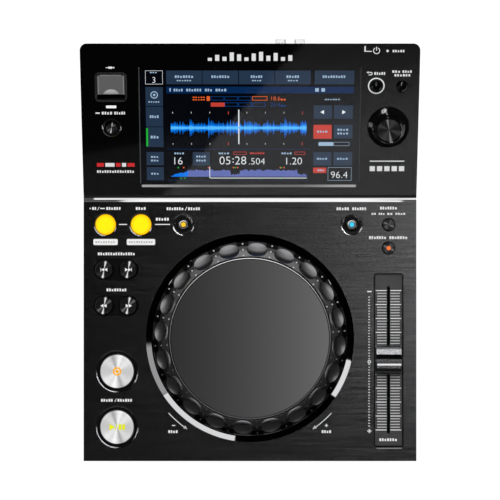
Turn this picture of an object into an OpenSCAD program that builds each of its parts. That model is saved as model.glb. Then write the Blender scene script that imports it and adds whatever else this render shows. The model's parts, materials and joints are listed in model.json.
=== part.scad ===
// Tabletop media player for DJ use: a flat deck with jog wheel, buttons and tempo fader,
// and a sloped display console behind it. Millimetres, +Z up, the user sits at -Y.
// The origin lies on the table, in the middle of the outline that includes the rear sockets.

/* [Case] */
// Width of the case
case_w = 242; // [240:1:256]
// Depth of the case, front edge to rear face
case_d = 300; // [298:1:320]
// Height of the deck face above the table
deck_h = 70; // [67:1:80]
// Length of the flat deck, front edge to seam
deck_len = 188.4; // [187.6:0.2:191]
// Length of the polished seam strip between deck and console
seam_w = 5.1; // [4:0.1:6]
// Slope of the display console in degrees
console_tilt = 20; // [16:1:23]
// Thickness of the outer walls
wall = 2.6; // [2:0.1:3]
// Thickness of the moulded skin under the top plates
skin = 3; // [2.6:0.1:3.4]
// Thickness of the brushed deck plate
deck_t = 1.5; // [1:0.1:1.8]
// Thickness of the glossy console plate
console_t = 2; // [1.6:0.1:2.4]
// Radius of the upright rear corners
corner_r = 5; // [4:0.5:7]
// Depth of the bevel along the lower front edge
toe_d = 8; // [5:0.5:12]
// Height of the bevel along the lower front edge
toe_h = 14; // [8:1:20]
// Thickness of the steel base plate
base_t = 1.2; // [1:0.1:1.6]
// Height of the rubber feet
foot_h = 4; // [3:0.5:6]
// Radius of the rubber feet
foot_r = 9; // [7:0.5:11]

/* [Jog wheel] */
// Distance from the front edge to the centre of the jog wheel
jog_from_front = 89.5; // [88.5:0.5:92]
// Side of the case to the rim of the jog wheel
jog_side = 50.5; // [50:0.5:52]
// Running gap between the jog wheel and the ring round it
jog_gap = 0.4; // [0.3:0.1:0.8]
// Width of the sloped ring round the jog wheel
well_land = 4.7; // [4:0.1:5.5]
// Height of that ring's inner edge above the deck
well_rise = 2.6; // [1:0.1:3]
// Width of the grip ring with the trim ring inside it
grip_w = 13.1; // [12.5:0.1:16.5]
// Height of the top plate above the deck
jog_rise = 10.3; // [8.5:0.1:13]
// Number of thumb dimples
dimple_count = 20; // [16:1:22]
// Length of a dimple round the wheel
dimple_l = 15.6; // [12:0.1:16]
// Width of a dimple across the ring
dimple_w = 10.6; // [8:0.1:10.8]
// Depth of a dimple
dimple_d = 1.5; // [0.8:0.1:1.8]
// Radius of the jog shaft
shaft_r = 4; // [3:0.1:5]
// Radius of the slotted encoder disc
encoder_r = 24; // [20:0.5:30]
// Number of slots in the encoder disc
encoder_slots = 36; // [12:4:48]

/* [Push buttons] */
// Radius of the two loop button caps
loop_cap_r = 7.1; // [6:0.1:7.4]
// Outer radius of the bezels round the loop buttons
loop_bezel_r = 8.6; // [8.3:0.1:9]
// Radius of the small lit caps
lit_cap_r = 4; // [3.4:0.1:4.4]
// Outer radius of the bezels round the small lit caps
lit_bezel_r = 7.95; // [7:0.05:8.4]
// Radius of the tempo button caps
tempo_cap_r = 4.3; // [3.6:0.1:4.6]
// Radius of the search button caps
search_cap_r = 6.45; // [5.8:0.05:6.6]
// Outer radius of the round ends of the search bezels
search_bezel_r = 7.5; // [7.3:0.1:7.8]
// Radius of the cue and play caps
play_cap_r = 12.4; // [11:0.1:12.8]
// Outer radius of the bezels round the cue and play caps
play_bezel_r = 15.4; // [14.8:0.1:16]
// Radius of the back and tag caps
menu_cap_r = 3.8; // [3.2:0.1:4]
// Running gap between a cap and the hole round it
cap_gap = 0.35; // [0.3:0.05:0.45]
// Height of a cap above the deck
cap_rise = 1.6; // [1.2:0.1:2.4]
// Travel of the small buttons
press = 0.5; // [0.3:0.05:0.6]
// Travel of the cue and play buttons
play_press = 0.8; // [0.5:0.05:1]
// Height of a bezel above the plate that it sits in
bezel_rise = 0.6; // [0.4:0.1:0.8]

/* [Places on the deck] */
// Left side to the first loop button
loop_inset = 15.9; // [15.5:0.1:17]
// Spacing of the loop buttons
loop_pitch = 25.8; // [24:0.1:27]
// Left side to the loop exit button
exit_inset = 72.6; // [70:0.1:75]
// Front edge to the row of loop buttons
row_from_front = 172; // [171:0.5:174]
// Left side to the first search button
search_inset = 15; // [14.6:0.1:16]
// Spacing of a pair of search buttons
search_pitch = 17.5; // [16.6:0.1:18]
// Front edge to the track search pair
track_from_front = 139.2; // [136:0.1:142]
// Front edge to the search pair
search_from_front = 113; // [110:0.1:115]
// Left side to the cue and play buttons
play_inset = 24.4; // [22:0.1:25]
// Front edge to the cue button
cue_from_front = 65.3; // [63:0.1:68]
// Front edge to the play button
play_from_front = 24.8; // [22:0.1:27]
// Right side to the vinyl mode button
vinyl_inset = 47; // [44:0.1:50]
// Right side to the tempo buttons and the fader
tempo_inset = 20.2; // [19.8:0.1:21]
// Front edge to the master tempo button
master_from_front = 154.9; // [154:0.1:156]
// Front edge to the middle of the tempo fader
fader_from_front = 73.4; // [72:0.1:75]

/* [Tempo fader] */
// Width of the fader recess
recess_w = 21.6; // [21:0.1:22.4]
// Length of the fader recess
recess_l = 126.4; // [126:0.2:129]
// Width of the lever slot
slot_w = 2.3; // [2:0.1:3]
// Travel of the fader to each side of the middle
fader_travel = 50; // [45:1:50]
// Width of the fader cap
fader_cap_w = 18; // [15:0.5:19]
// Length of the fader cap
fader_cap_l = 20.6; // [18:0.2:21]
// Height of the fader cap above its plate
fader_cap_h = 10.5; // [9:0.5:13]
// Radius of the fader guide rods
rod_r = 1.5; // [1.2:0.1:1.8]

/* [Console] */
// Width of the console on each side of the display window
column_w = 42; // [41:0.5:44]
// Seam edge of the console to the display window
window_from_seam = 6.9; // [6.5:0.1:8]
// Display window to the rear edge of the console, up the slope
window_from_rear = 19.4; // [18.6:0.1:21.4]
// Thickness of the touch glass
glass_t = 1.7; // [1.2:0.1:1.8]
// Side of the case to the centre line of each console column
column_inset = 21.6; // [21:0.1:22.4]
// Rear edge to the back and tag buttons
menu_from_rear = 31.7; // [29.5:0.1:33]
// Back and tag buttons to the selector
selector_pitch = 30.3; // [29:0.1:31.5]
// Half the spacing of the back and tag buttons
menu_half_pitch = 9.2; // [8.6:0.1:9.6]
// Rear edge to the middle of the USB port
usb_from_rear = 32.1; // [30.5:0.1:33.3]
// Middle of the USB port to the USB stop button
stop_pitch = 30.2; // [28.5:0.1:32]
// Width of the USB port frame
usb_w = 23; // [22.4:0.1:24]
// Length of the USB port frame
usb_l = 21.9; // [21.4:0.1:22.6]
// Depth of the USB port under its lid
usb_depth = 12; // [11:0.5:14]
// Thickness of the USB lid
lid_t = 1.6; // [1.4:0.1:2]
// Radius of the USB lid hinge pin
lid_pin_r = 0.8; // [0.6:0.05:0.9]
// Radius of the selector knob
knob_r = 10.8; // [9.5:0.1:11.5]
// Radius of the skirt of the selector knob
knob_skirt_r = 15; // [13.5:0.1:15.4]
// Height of the selector knob above the console
knob_h = 9; // [8.5:0.5:12]
// Radius of the selector shaft
selector_shaft_r = 3; // [2.6:0.1:3.2]

/* [Rear] */
// Reach of the phono sockets behind the case
jack_out = 10; // [8:0.5:12]
// Spacing of the two phono sockets
jack_pitch = 14.1; // [13.6:0.1:16]
// Right side to the middle of the phono pair
jack_inset = 91.15; // [87:0.05:95]
// Height of the socket axes above the table
socket_h = 35; // [34:0.5:38]
// Right side to the power button
power_inset = 38; // [35:0.5:41]
// Radius of the power button
power_r = 5; // [4:0.1:5.5]
// Travel of the power button
power_press = 2; // [1:0.1:2.4]
// Right side to the network socket
link_inset = 151; // [148:0.5:154]
// Right side to the USB-B socket
host_inset = 179; // [177:0.5:182]
// Right side to the DC inlet
dc_inset = 18; // [17:0.5:20]
// Radius of the DC inlet
dc_bore_r = 2.9; // [2.6:0.1:3.2]

/* [Hidden] */
$fn = 64;
// Places
front_y = -(case_d + jack_out) / 2;
rear_y = front_y + case_d;
left_x = -case_w / 2;
right_x = case_w / 2;
base_z = foot_h + base_t;
deck_z = deck_h - deck_t;
under_z = deck_z - skin;
seam_y = front_y + deck_len;
console_y = seam_y + seam_w;
console_z = deck_z + console_t / cos(console_tilt);
console_l = (rear_y - console_y) / cos(console_tilt);
deck_under = deck_t + skin;
console_under = console_t + skin;
joint_gap = 0.1;
jog_y = front_y + jog_from_front;
jog_r = case_w / 2 - jog_side;
jog_plate_r = jog_r - grip_w;
row_y = front_y + row_from_front;
in_at = [left_x + loop_inset, row_y];
out_at = [left_x + loop_inset + loop_pitch, row_y];
exit_at = [left_x + exit_inset, row_y];
vinyl_at = [right_x - vinyl_inset, row_y];
range_at = [right_x - tempo_inset, row_y];
master_at = [right_x - tempo_inset, front_y + master_from_front];
track_y = front_y + track_from_front;
search_y = front_y + search_from_front;
search_x = [left_x + search_inset, left_x + search_inset + search_pitch];
cue_at = [left_x + play_inset, front_y + cue_from_front];
play_at = [left_x + play_inset, front_y + play_from_front];
fader_at = [right_x - tempo_inset, front_y + fader_from_front];
usb_at = [left_x + column_inset, console_l - usb_from_rear];
stop_at = [left_x + column_inset, usb_at[1] - stop_pitch];
menu_s = console_l - menu_from_rear;
selector_at = [right_x - column_inset, menu_s - selector_pitch];
back_at = [right_x - column_inset - menu_half_pitch, menu_s];
tag_at = [right_x - column_inset + menu_half_pitch, menu_s];
window_w = case_w - 2 * column_w;
window_l = console_l - window_from_seam - window_from_rear;
window_mid = window_from_seam + window_l / 2;

// Jog wheel build-up, from the deck upwards and from the rim inwards
well_in = jog_r + jog_gap;
well_out = well_in + well_land;
hole_r = well_in + 2.1;
well_lip = 0.2;
well_crest = 0.8;
trim_w = 0.7;
trim_groove = 0.9;
trim_gap = 0.2;
trim_in = jog_plate_r + trim_gap;
grip_in = trim_in + trim_w + trim_groove;
plate_t = 1.7;
jog_face = deck_h + jog_rise;
web_top = jog_face - plate_t;
web_t = 2.5;
rim_rise = 4;
grip_seat = deck_h + rim_rise;
grip_edge_h = 2.6;
grip_edge = grip_seat + grip_edge_h;
grip_top = jog_face - 0.4;
grip_slope = atan((grip_top - grip_edge) / (jog_r - grip_in));
dimple_mid = (jog_r + grip_in) / 2 - 0.4;
first_dimple = 85.5;
pip_r = 0.6;
pip_pitch = 4.2;
rim_drop = 5;
rim_low = deck_z - rim_drop;
rim_t = 2.2;
hub_r = 9;
rib_t = 1.6;
frame_drop = 5.5;
frame_z = under_z - frame_drop;
frame_t = 2;
frame_r = 34;
frame_arm_w = 18;
ear_gap = 5.6;
ear_r = well_in + ear_gap;
bearing_flange_t = 1.7;
bearing_flange_r = 13;
bearing_r = 7;
sleeve_l = 12;
hub_low = frame_z + bearing_flange_t + 0.3;
disc_t = 1.2;
disc_hub_r = shaft_r + 3;
disc_hub_drop = 3;
disc_hub_h = 5.5;
slot_in = 5;
disc_slot_l = 3.4;
disc_slot_w = 0.9;
disc_gap = 3.2;
disc_z = frame_z - frame_t - sleeve_l - disc_gap;
fork_w = 10;
fork_reach = 5;
fork_gap = 0.8;
run_fit = 0.05;

// Boards and switches
board_t = 1.6;
board_drop = 7.5;
board_z = under_z - board_drop;
switch_w = 6;
switch_h = 3.5;
plunger_h = 1.5;
plunger_r = 1.6;
flange_gap = 0.3;
flange_t = 1.2;
flange_w = 1.2;
stem_r = 2.4;
screw_r = 1.45;
pilot_r = 1.5;
head_r = 2.8;
head_t = 1.8;
boss_r = 3.5;
post_r = 3;
bezel_foot = 0.1;
bezel_slope = 0.75;
bezel_drop = 0.7;
bezel_land = 0.2;

// Corner posts that carry the base plate screws
post_inset = 5;
front_post = 14;
side_post = 100;
seam_post = 10;
rear_post = 12;
post_x = case_w / 2 - post_inset;
post_y = [front_y + front_post, front_y + side_post, seam_y + seam_post, rear_y - rear_post];
screw_l = 8;
foot_inset = 24;
front_foot = 16;
rear_foot = 20;

// Deck boards and the posts that they hang from
board_inset = 9;
board_edge = case_w / 2 - board_inset;
left_strip_x = -(ear_r + post_r + 1.2);
row_margin = 11;
board_half = 9;
board_margin = 12;
board_side = 3.3;
low_post = [4.5, 46];
mid_post = [14, 95];
row_post = [15, 5];
vinyl_post = 12.5;

// Fader build-up
tray_t = 1.5;
tray_gap = 0.15;
tray_ledge = 1.5;
body_w = recess_w - 2 * tray_ledge - 1.6;
body_l = recess_l + 5.6;
body_h = 14;
rod_rise = 6;
rod_inset = 4.3;
sheet = 1;
lever_t = 1.4;
lever_l = 4;
slot_l = 2 * fader_travel + lever_l + 3.2;
rod_x = body_w / 2 - rod_inset;
rod_z = under_z - body_h + rod_rise;
carriage_w = body_w - 2 * sheet - 1;
carriage_l = 12;
carriage_h = 5;
cap_float = 0.8;
lever_reach = 4.5;
grip_bar = 3.5;
grip_dip = 5;
line_at = -2.5;

// Rear build-up
panel_t = 1.2;
panel_inset = 9;
panel_w = case_w - 2 * panel_inset;
panel_foot = 4;
panel_h = 48;
panel_low = base_z + panel_foot;
panel_high = panel_low + panel_h;
panel_lip = 2;
lock_w = 7;
lock_h = 3;
lock_inset = 14;
panel_y = rear_y - wall;
inside_y = panel_y - panel_t;
main_rise = 14.8;
main_l = 77.7;
main_inset = 10;
main_margin = 18;
main_z = base_z + main_rise;
main_top = main_z + board_t;
main_y = inside_y - 1 - main_l;
main_x = right_x - host_inset - main_margin;
main_w = host_inset + main_margin - main_inset;
corner_post = 5;
back_post = 19;
socket_d = 14;
jack_x = right_x - jack_inset;
power_x = right_x - power_inset;
power_out = 6.8;
rod_back = 8;
switch_d = 12;
link_x = right_x - link_inset;
link_w = 16;
link_h = 13.5;
host_x = right_x - host_inset;
host_w = 12;
host_h = 10.8;
dc_x = right_x - dc_inset;
dc_w = 11;
dc_h = 12;
pin_bore_r = 1.6;
sleeve_r = 4.15;
collar_r = 5.5;

// Parts on the main board: place from its front left corner, then width, length and height
main_parts = [[56, 16, 22, 22, 2], [90, 12, 14, 10, 1.4], [112, 12, 14, 10, 1.4],
    [136, 28, 26, 12, 8], [10, 10, 5, 24, 3]];
// Capacitors on the main board: place from its front left corner
capacitors = [[138, 16], [152, 16], [166, 16]];
capacitor_r = 4;
capacitor_h = 10;

// Cooling slots in the base plate
vent_x = 60;
vent_from_seam = 60;
vent_y = seam_y - vent_from_seam;
vent_pitch = 8;
vent_count = 8;
vent_l = 30;
vent_r = 1.2;

// Display build-up
module_w = window_w - 3;
module_l = window_l + 5;
module_t = 6;
view_w = window_w - 5;
view_l = window_l - 4;
module_lip = 3;
bracket_t = 1;
bracket_web = 12;
display_post_x = module_w / 2 + 4;
low_display_post = 15;
high_display_post = 50;
display_post_s = [window_from_seam + low_display_post, window_from_seam + high_display_post];

// USB port build-up
usb_lip = 0.7;
usb_wall = 1.2;
usb_corner = 3.5;
well_corner = 0.8;
well_w = usb_w - 3.1;
well_l = usb_l - 2.8;
usb_socket_w = 14.4;
usb_socket_l = 7;
usb_socket_h = 15;
lid_w = well_w - 0.7;
lid_l = usb_l - 8.5;
lid_low = 0.2;
hinge_r = lid_pin_r + run_fit + 0.45;
hinge_s = well_l / 2 - 0.35 - hinge_r;
hinge_n = -lid_low - hinge_r;

// Selector build-up
encoder_w = 13;
encoder_low = console_under + board_drop;
encoder_h = 6.5;
rotor_r = 4.6;
bush_r = 4.4;
knob_float = 0.8;

// ---- Helpers ----

// Height of the plane that lies `depth` under the console face, at the place y
function console_height(y, depth) = console_z + (y - console_y) * tan(console_tilt)
    - depth / cos(console_tilt);

// Place where that plane meets the height z
function console_meets(z, depth) = console_y
    + (z - console_z + depth / cos(console_tilt)) / tan(console_tilt);

// Console coordinates: x across, y up the slope from the seam edge, z out of the face
module on_console() {
    translate([0, console_y, console_z]) rotate([console_tilt, 0, 0]) children();
}

// A side view drawn as (y, z) points, extruded across the case
module across(w, points) {
    rotate([90, 0, 90]) linear_extrude(height = w, center = true) polygon(points);
}

module round_rect(w, l, r) {
    square([w - 2 * r, l], center = true);
    square([w, l - 2 * r], center = true);
    for (x = [-1, 1], y = [-1, 1])
        translate([x * (w / 2 - r), y * (l / 2 - r)]) circle(r = r);
}

module stadium(pitch, r) {
    square([pitch, 2 * r], center = true);
    for (x = [-1, 1]) translate([x * pitch / 2, 0]) circle(r = r);
}

// Upright block with the plan of the case: square in front, round at the rear corners
module case_plan(z0, z1) {
    translate([0, 0, z0]) linear_extrude(height = z1 - z0) {
        translate([left_x, front_y]) square([case_w, case_d - corner_r]);
        translate([left_x + corner_r, front_y]) square([case_w - 2 * corner_r, case_d]);
        for (x = [left_x + corner_r, right_x - corner_r])
            translate([x, rear_y - corner_r]) circle(r = corner_r);
    }
}

// A turned button: cap, flange that the skin holds down, and stem above its switch.
// z = 0 is the face of the plate round it, `under` is the depth of the skin's inner face.
module turned_button(r, rise, travel, under, edge) {
    flange_z = -under - flange_gap - flange_t;
    stem_z = -under - board_drop + switch_h + plunger_h + travel + run_fit;
    rotate_extrude() polygon([
        [0, stem_z], [stem_r, stem_z], [stem_r, flange_z], [r + flange_w, flange_z],
        [r + flange_w, flange_z + flange_t], [r, flange_z + flange_t], [r, rise - edge],
        [r - edge, rise], [r * 0.8, rise], [r * 0.74, rise - 0.15], [0, rise - 0.15]
    ]);
}

module deck_button(at, r, travel) {
    translate([at[0], at[1], deck_h]) turned_button(r, cap_rise, travel, deck_under, 0.4);
}

// Domed cap of the console's menu buttons
module domed_button(at) {
    stem_z = -console_under - board_drop + switch_h + plunger_h + press + run_fit;
    flange_z = -console_under - flange_gap - flange_t;
    dome_r = menu_cap_r * 1.25;
    dome_low = cap_rise - 0.6;
    on_console() translate([at[0], at[1], 0]) {
        rotate_extrude() polygon([
            [0, stem_z], [stem_r, stem_z], [stem_r, flange_z],
            [menu_cap_r + flange_w, flange_z], [menu_cap_r + flange_w, flange_z + flange_t],
            [menu_cap_r, flange_z + flange_t], [menu_cap_r, dome_low], [0, dome_low]
        ]);
        intersection() {
            translate([0, 0, dome_low - sqrt(dome_r * dome_r - menu_cap_r * menu_cap_r)])
                sphere(r = dome_r);
            translate([0, 0, dome_low - 0.5]) cylinder(r = menu_cap_r, h = dome_r);
        }
    }
}

// A turned bezel: a slope up from the plate, a narrow crest and a funnel down to the cap;
// t is the plate's thickness
module bezel(outer, inner, t) {
    crest = outer - bezel_slope;
    rotate_extrude() polygon([
        [inner, -t], [outer, -t], [outer, bezel_foot], [crest, bezel_rise],
        [crest - bezel_land, bezel_rise], [inner, -bezel_drop]
    ]);
}

module tact_switch() {
    translate([-switch_w / 2, -switch_w / 2, 0]) cube([switch_w, switch_w, switch_h]);
    translate([0, 0, switch_h]) cylinder(r = plunger_r, h = plunger_h);
}

// Hollow post that hangs from the skin down to a board
module board_post(length) {
    translate([0, 0, -length]) difference() {
        cylinder(r = post_r, h = length + skin / 2);
        translate([0, 0, -1]) cylinder(r = pilot_r - 0.25, h = length);
    }
}

// Cap screw, head down, with its hexagon socket
module screw(shank_r, shank) {
    difference() {
        cylinder(r = head_r, h = head_t);
        translate([0, 0, -1]) cylinder(r = 1.1, h = 2, $fn = 6);
    }
    translate([0, 0, head_t]) cylinder(r = shank_r, h = shank);
}

// ---- Places of what repeats ----
left_posts = [[low_post[0] - board_edge, front_y + low_post[1]],
    [mid_post[0] - board_edge, front_y + mid_post[1]],
    [left_strip_x + row_post[0], row_y + row_post[1]]];
right_posts = [for (y = [master_at[1] + 2, row_y + 6]) [vinyl_at[0] + vinyl_post, y]];
frame_posts = [for (a = [45 : 90 : 315]) [ear_r * cos(a), jog_y + ear_r * sin(a)]];

module each_deck_post() {
    for (p = concat(left_posts, right_posts)) translate([p[0], p[1], under_z]) children();
}

// ---- Case ----

module housing_shell() {
    difference() {
        intersection() {
            case_plan(base_z, console_height(rear_y, console_t) + 1);
            across(case_w + 2, [
                [front_y + toe_d, base_z], [front_y, base_z + toe_h], [front_y, deck_z],
                [console_meets(deck_z, console_t), deck_z],
                [rear_y, console_height(rear_y, console_t)], [rear_y, base_z]
            ]);
        }
        across(case_w - 2 * wall, [
            [front_y + toe_d + wall, base_z - 1], [front_y + wall, base_z + toe_h + 1],
            [front_y + wall, under_z], [console_meets(under_z, console_under), under_z],
            [rear_y - wall, console_height(rear_y - wall, console_under)],
            [rear_y - wall, base_z - 1]
        ]);
    }
}

module housing_deck_holes() {
    deep = 2 * skin;
    translate([0, jog_y, deck_z - deep]) cylinder(r = hole_r, h = 2 * deep);
    for (p = [[in_at, loop_cap_r], [out_at, loop_cap_r], [exit_at, lit_cap_r],
            [vinyl_at, lit_cap_r], [range_at, tempo_cap_r], [master_at, tempo_cap_r],
            [cue_at, play_cap_r], [play_at, play_cap_r]])
        translate([p[0][0], p[0][1], deck_z - deep]) cylinder(r = p[1] + cap_gap, h = 2 * deep);
    for (x = search_x, y = [track_y, search_y])
        translate([x, y, deck_z - deep]) cylinder(r = search_cap_r + cap_gap, h = 2 * deep);
    translate([fader_at[0], fader_at[1], deck_z - tray_t]) linear_extrude(height = deep)
        round_rect(recess_w + 2 * tray_gap, recess_l + 2 * tray_gap, 2);
    translate([fader_at[0], fader_at[1], deck_z - deep]) linear_extrude(height = 2 * deep)
        square([recess_w - 2 * tray_ledge, recess_l - 2 * tray_ledge], center = true);
}

module housing_console_holes() {
    deep = 3 * skin;
    on_console() {
        translate([0, window_mid, -deep]) linear_extrude(height = 2 * deep)
            square([view_w + 1, view_l + 1], center = true);
        translate([usb_at[0], usb_at[1], -deep]) linear_extrude(height = 2 * deep)
            round_rect(usb_w - 2 * usb_lip + 0.4, usb_l - 2 * usb_lip + 0.4, usb_corner - usb_lip);
        translate([stop_at[0], stop_at[1], -deep]) cylinder(r = lit_cap_r + cap_gap, h = 2 * deep);
        for (p = [back_at, tag_at])
            translate([p[0], p[1], -deep]) cylinder(r = menu_cap_r + cap_gap, h = 2 * deep);
        translate([selector_at[0], selector_at[1], -deep]) cylinder(r = bush_r + 0.2, h = 2 * deep);
    }
}

module housing() {
    color("#202022") difference() {
        union() {
            housing_shell();
            each_deck_post() board_post(board_drop);
            for (p = frame_posts) translate([p[0], p[1], under_z]) board_post(frame_drop);
            for (x = [-post_x, post_x], y = post_y)
                translate([x, y, base_z]) cylinder(r = boss_r, h = under_z - base_z + skin / 2);
            on_console() for (x = [-display_post_x, display_post_x], s = display_post_s)
                translate([x, s, -console_under]) board_post(module_t + flange_gap);
        }
        housing_deck_holes();
        housing_console_holes();
        for (x = [-post_x, post_x], y = post_y)
            translate([x, y, base_z - 1]) cylinder(r = pilot_r, h = 12);
        translate([0, rear_y, (panel_low + panel_high) / 2])
            cube([panel_w - 2 * panel_lip, 4 * wall, panel_high - panel_low - 2 * panel_lip],
                center = true);
    }
}

module base_plate() {
    color("#3a3b3d") difference() {
        union() {
            translate([0, 0, foot_h]) linear_extrude(height = base_t)
                translate([left_x + 1, front_y + toe_d + 1])
                    square([case_w - 2, case_d - toe_d - 2]);
            for (x = [corner_post, main_w - corner_post], y = [corner_post, main_l - back_post])
                translate([main_x + x, main_y + y, base_z])
                    cylinder(r = post_r, h = main_z - base_z);
        }
        for (x = [-post_x, post_x], y = post_y)
            translate([x, y, foot_h - 1]) cylinder(r = screw_r + 0.3, h = base_t + 2);
        for (x = [-vent_x, vent_x], i = [0 : vent_count - 1])
            translate([x, vent_y + vent_pitch * i, foot_h - 1])
                linear_extrude(height = base_t + 2) stadium(vent_l, vent_r);
    }
}

module deck_plate() {
    color("#2b2b2d") difference() {
        translate([left_x, front_y, deck_z]) cube([case_w, deck_len, deck_t]);
        translate([0, 0, deck_z - 1]) linear_extrude(height = deck_t + 2) {
            translate([0, jog_y]) circle(r = well_out + joint_gap);
            for (p = [[in_at, loop_bezel_r], [out_at, loop_bezel_r], [exit_at, lit_bezel_r],
                    [vinyl_at, lit_bezel_r], [cue_at, play_bezel_r], [play_at, play_bezel_r]])
                translate(p[0]) circle(r = p[1] + joint_gap);
            for (p = [range_at, master_at])
                translate(p) circle(r = tempo_cap_r + 2 * cap_gap);
            for (y = [track_y, search_y])
                translate([(search_x[0] + search_x[1]) / 2, y])
                    stadium(search_pitch, search_bezel_r + joint_gap);
            translate(fader_at) round_rect(recess_w, recess_l, 2);
        }
    }
}

module console_plate() {
    color("#101012") difference() {
        intersection() {
            case_plan(deck_z, console_height(rear_y, 0) + 1);
            across(case_w + 2, [
                [console_y, console_height(console_y, 0)],
                [rear_y + 1, console_height(rear_y + 1, 0)],
                [rear_y + 1, console_height(rear_y + 1, console_t)],
                [console_y, console_height(console_y, console_t)]
            ]);
        }
        on_console() translate([0, 0, -2 * console_t]) linear_extrude(height = 4 * console_t) {
            translate([0, window_mid]) square([window_w, window_l], center = true);
            translate(usb_at) round_rect(usb_w + 2 * joint_gap, usb_l + 2 * joint_gap, usb_corner);
            translate(stop_at) circle(r = lit_bezel_r - 1 + joint_gap);
            for (p = [back_at, tag_at]) translate(p) circle(r = menu_cap_r + 0.6);
            translate(selector_at) circle(r = bush_r + 0.4);
        }
    }
}

// Two polished bevels that meet in a shallow groove
module seam_strip() {
    mid = seam_y + seam_w / 2;
    color("#d0d2d4") across(case_w, [
        [seam_y + joint_gap, deck_z], [seam_y + joint_gap, deck_h - joint_gap],
        [mid, deck_h - 0.7], [console_y - joint_gap, console_z - 0.2],
        [console_y - joint_gap, deck_z]
    ]);
}

module rear_panel() {
    mid_z = (panel_low + panel_high) / 2;
    color("#2a2a2c") difference() {
        translate([-panel_w / 2, inside_y, panel_low])
            cube([panel_w, panel_t, panel_high - panel_low]);
        translate([0, inside_y - 1, 0]) {
            for (s = [-1, 1]) translate([jack_x + s * jack_pitch / 2, 0, socket_h])
                rotate([-90, 0, 0]) cylinder(r = collar_r + joint_gap, h = panel_t + 2);
            translate([power_x, 0, socket_h]) rotate([-90, 0, 0])
                cylinder(r = power_r + cap_gap, h = panel_t + 2);
            translate([dc_x, 0, main_top + dc_h / 2]) rotate([-90, 0, 0])
                cylinder(r = dc_w / 2 - 0.6, h = panel_t + 2);
            translate([link_x - link_w / 2 - 0.2, 0, main_top - 0.1])
                cube([link_w + 0.4, panel_t + 2, link_h + 0.4]);
            translate([host_x - host_w / 2 - 0.2, 0, main_top - 0.1])
                cube([host_w + 0.4, panel_t + 2, host_h + 0.4]);
            translate([lock_inset - panel_w / 2, 0, mid_z])
                cube([lock_w, 2 * panel_t + 4, lock_h], center = true);
        }
    }
}

module feet() {
    color("#161616") for (s = [-1, 1], y = [front_y + toe_d + front_foot, rear_y - rear_foot])
        translate([s * (case_w / 2 - foot_inset), y, 0]) rotate_extrude() polygon([
            [0, 0.6], [foot_r / 2, 0.6], [foot_r / 2 + 0.6, 0], [foot_r - 1, 0], [foot_r, 1],
            [foot_r - 0.6, foot_h], [0, foot_h]
        ]);
}

module case_screws() {
    color("#6a6c70") {
        for (x = [-post_x, post_x], y = post_y)
            translate([x, y, foot_h - head_t]) screw(screw_r, screw_l);
        for (p = frame_posts)
            translate([p[0], p[1], frame_z - frame_t - head_t])
                screw(pilot_r - 0.3, frame_t + screw_l / 2);
    }
}

// ---- Display ----

module touch_glass() {
    color("#1b2a44") on_console()
        translate([-window_w / 2 + joint_gap, window_from_seam + joint_gap, -console_t])
            cube([window_w - 2 * joint_gap, window_l - 2 * joint_gap, glass_t]);
}

module display_module() {
    color("#6f7478") on_console() {
        translate([-module_w / 2, window_mid - module_l / 2, -console_under - module_t])
            cube([module_w, module_l, module_t]);
        translate([-view_w / 2, window_mid - view_l / 2, -console_under])
            cube([view_w, view_l, skin - 0.2]);
    }
}

// Steel frame behind the display, with three windows and ears on the housing's posts
module display_bracket() {
    bracket_w = 2 * (display_post_x + post_r);
    bracket_low = -console_under - module_t - flange_gap - bracket_t;
    plate = [module_w - 2 * module_lip, module_l - 2 * module_lip];
    opening = [(plate[0] - 4 * bracket_web) / 3, plate[1] - 4 * bracket_web];
    color("#9a9c9e") on_console() translate([0, 0, bracket_low])
        linear_extrude(height = bracket_t) difference() {
            union() {
                translate([0, window_mid]) square(plate, center = true);
                for (s = display_post_s)
                    translate([0, s]) square([bracket_w, bracket_web], center = true);
            }
            for (i = [-1 : 1])
                translate([i * (opening[0] + bracket_web), window_mid])
                    square(opening, center = true);
            for (x = [-display_post_x, display_post_x], s = display_post_s)
                translate([x, s]) circle(r = screw_r + 0.2);
        }
}

// ---- Rear electronics ----

module main_board() {
    color("#1d5a38") translate([main_x, main_y, main_z]) {
        cube([main_w, main_l, board_t]);
        for (p = main_parts) translate([p[0], p[1], board_t]) cube([p[2], p[3], p[4]]);
        for (p = capacitors) translate([p[0], p[1], board_t])
            cylinder(r = capacitor_r, h = capacitor_h);
    }
}

// Block with two turned sockets: collar, sleeve and centre hole
module phono_sockets() {
    block_w = jack_pitch + 2 * collar_r + 3;
    color("#c9ccd0") difference() {
        union() {
            translate([jack_x - block_w / 2, inside_y - socket_d, main_top])
                cube([block_w, socket_d, 2 * (socket_h - main_top)]);
            for (s = [-1, 1]) translate([jack_x + s * jack_pitch / 2, inside_y, socket_h])
                rotate([-90, 0, 0]) {
                    cylinder(r = collar_r, h = rear_y - inside_y + 1.5);
                    cylinder(r = sleeve_r, h = rear_y - inside_y + jack_out);
                }
        }
        for (s = [-1, 1]) translate([jack_x + s * jack_pitch / 2, inside_y + 2, socket_h])
            rotate([-90, 0, 0]) cylinder(r = pin_bore_r, h = rear_y - inside_y + jack_out);
    }
}

module network_socket() {
    port_w = link_w - 4;
    color("#b8bbbe") translate([link_x, inside_y - socket_d, main_top]) difference() {
        translate([-link_w / 2, 0, 0]) cube([link_w, socket_d + 1.5 * panel_t, link_h]);
        translate([-port_w / 2, 2, 2]) cube([port_w, 2 * socket_d, link_h - 5.5]);
        translate([-port_w / 4, 2, 2]) cube([port_w / 2, 2 * socket_d, link_h - 3.5]);
    }
}

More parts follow.
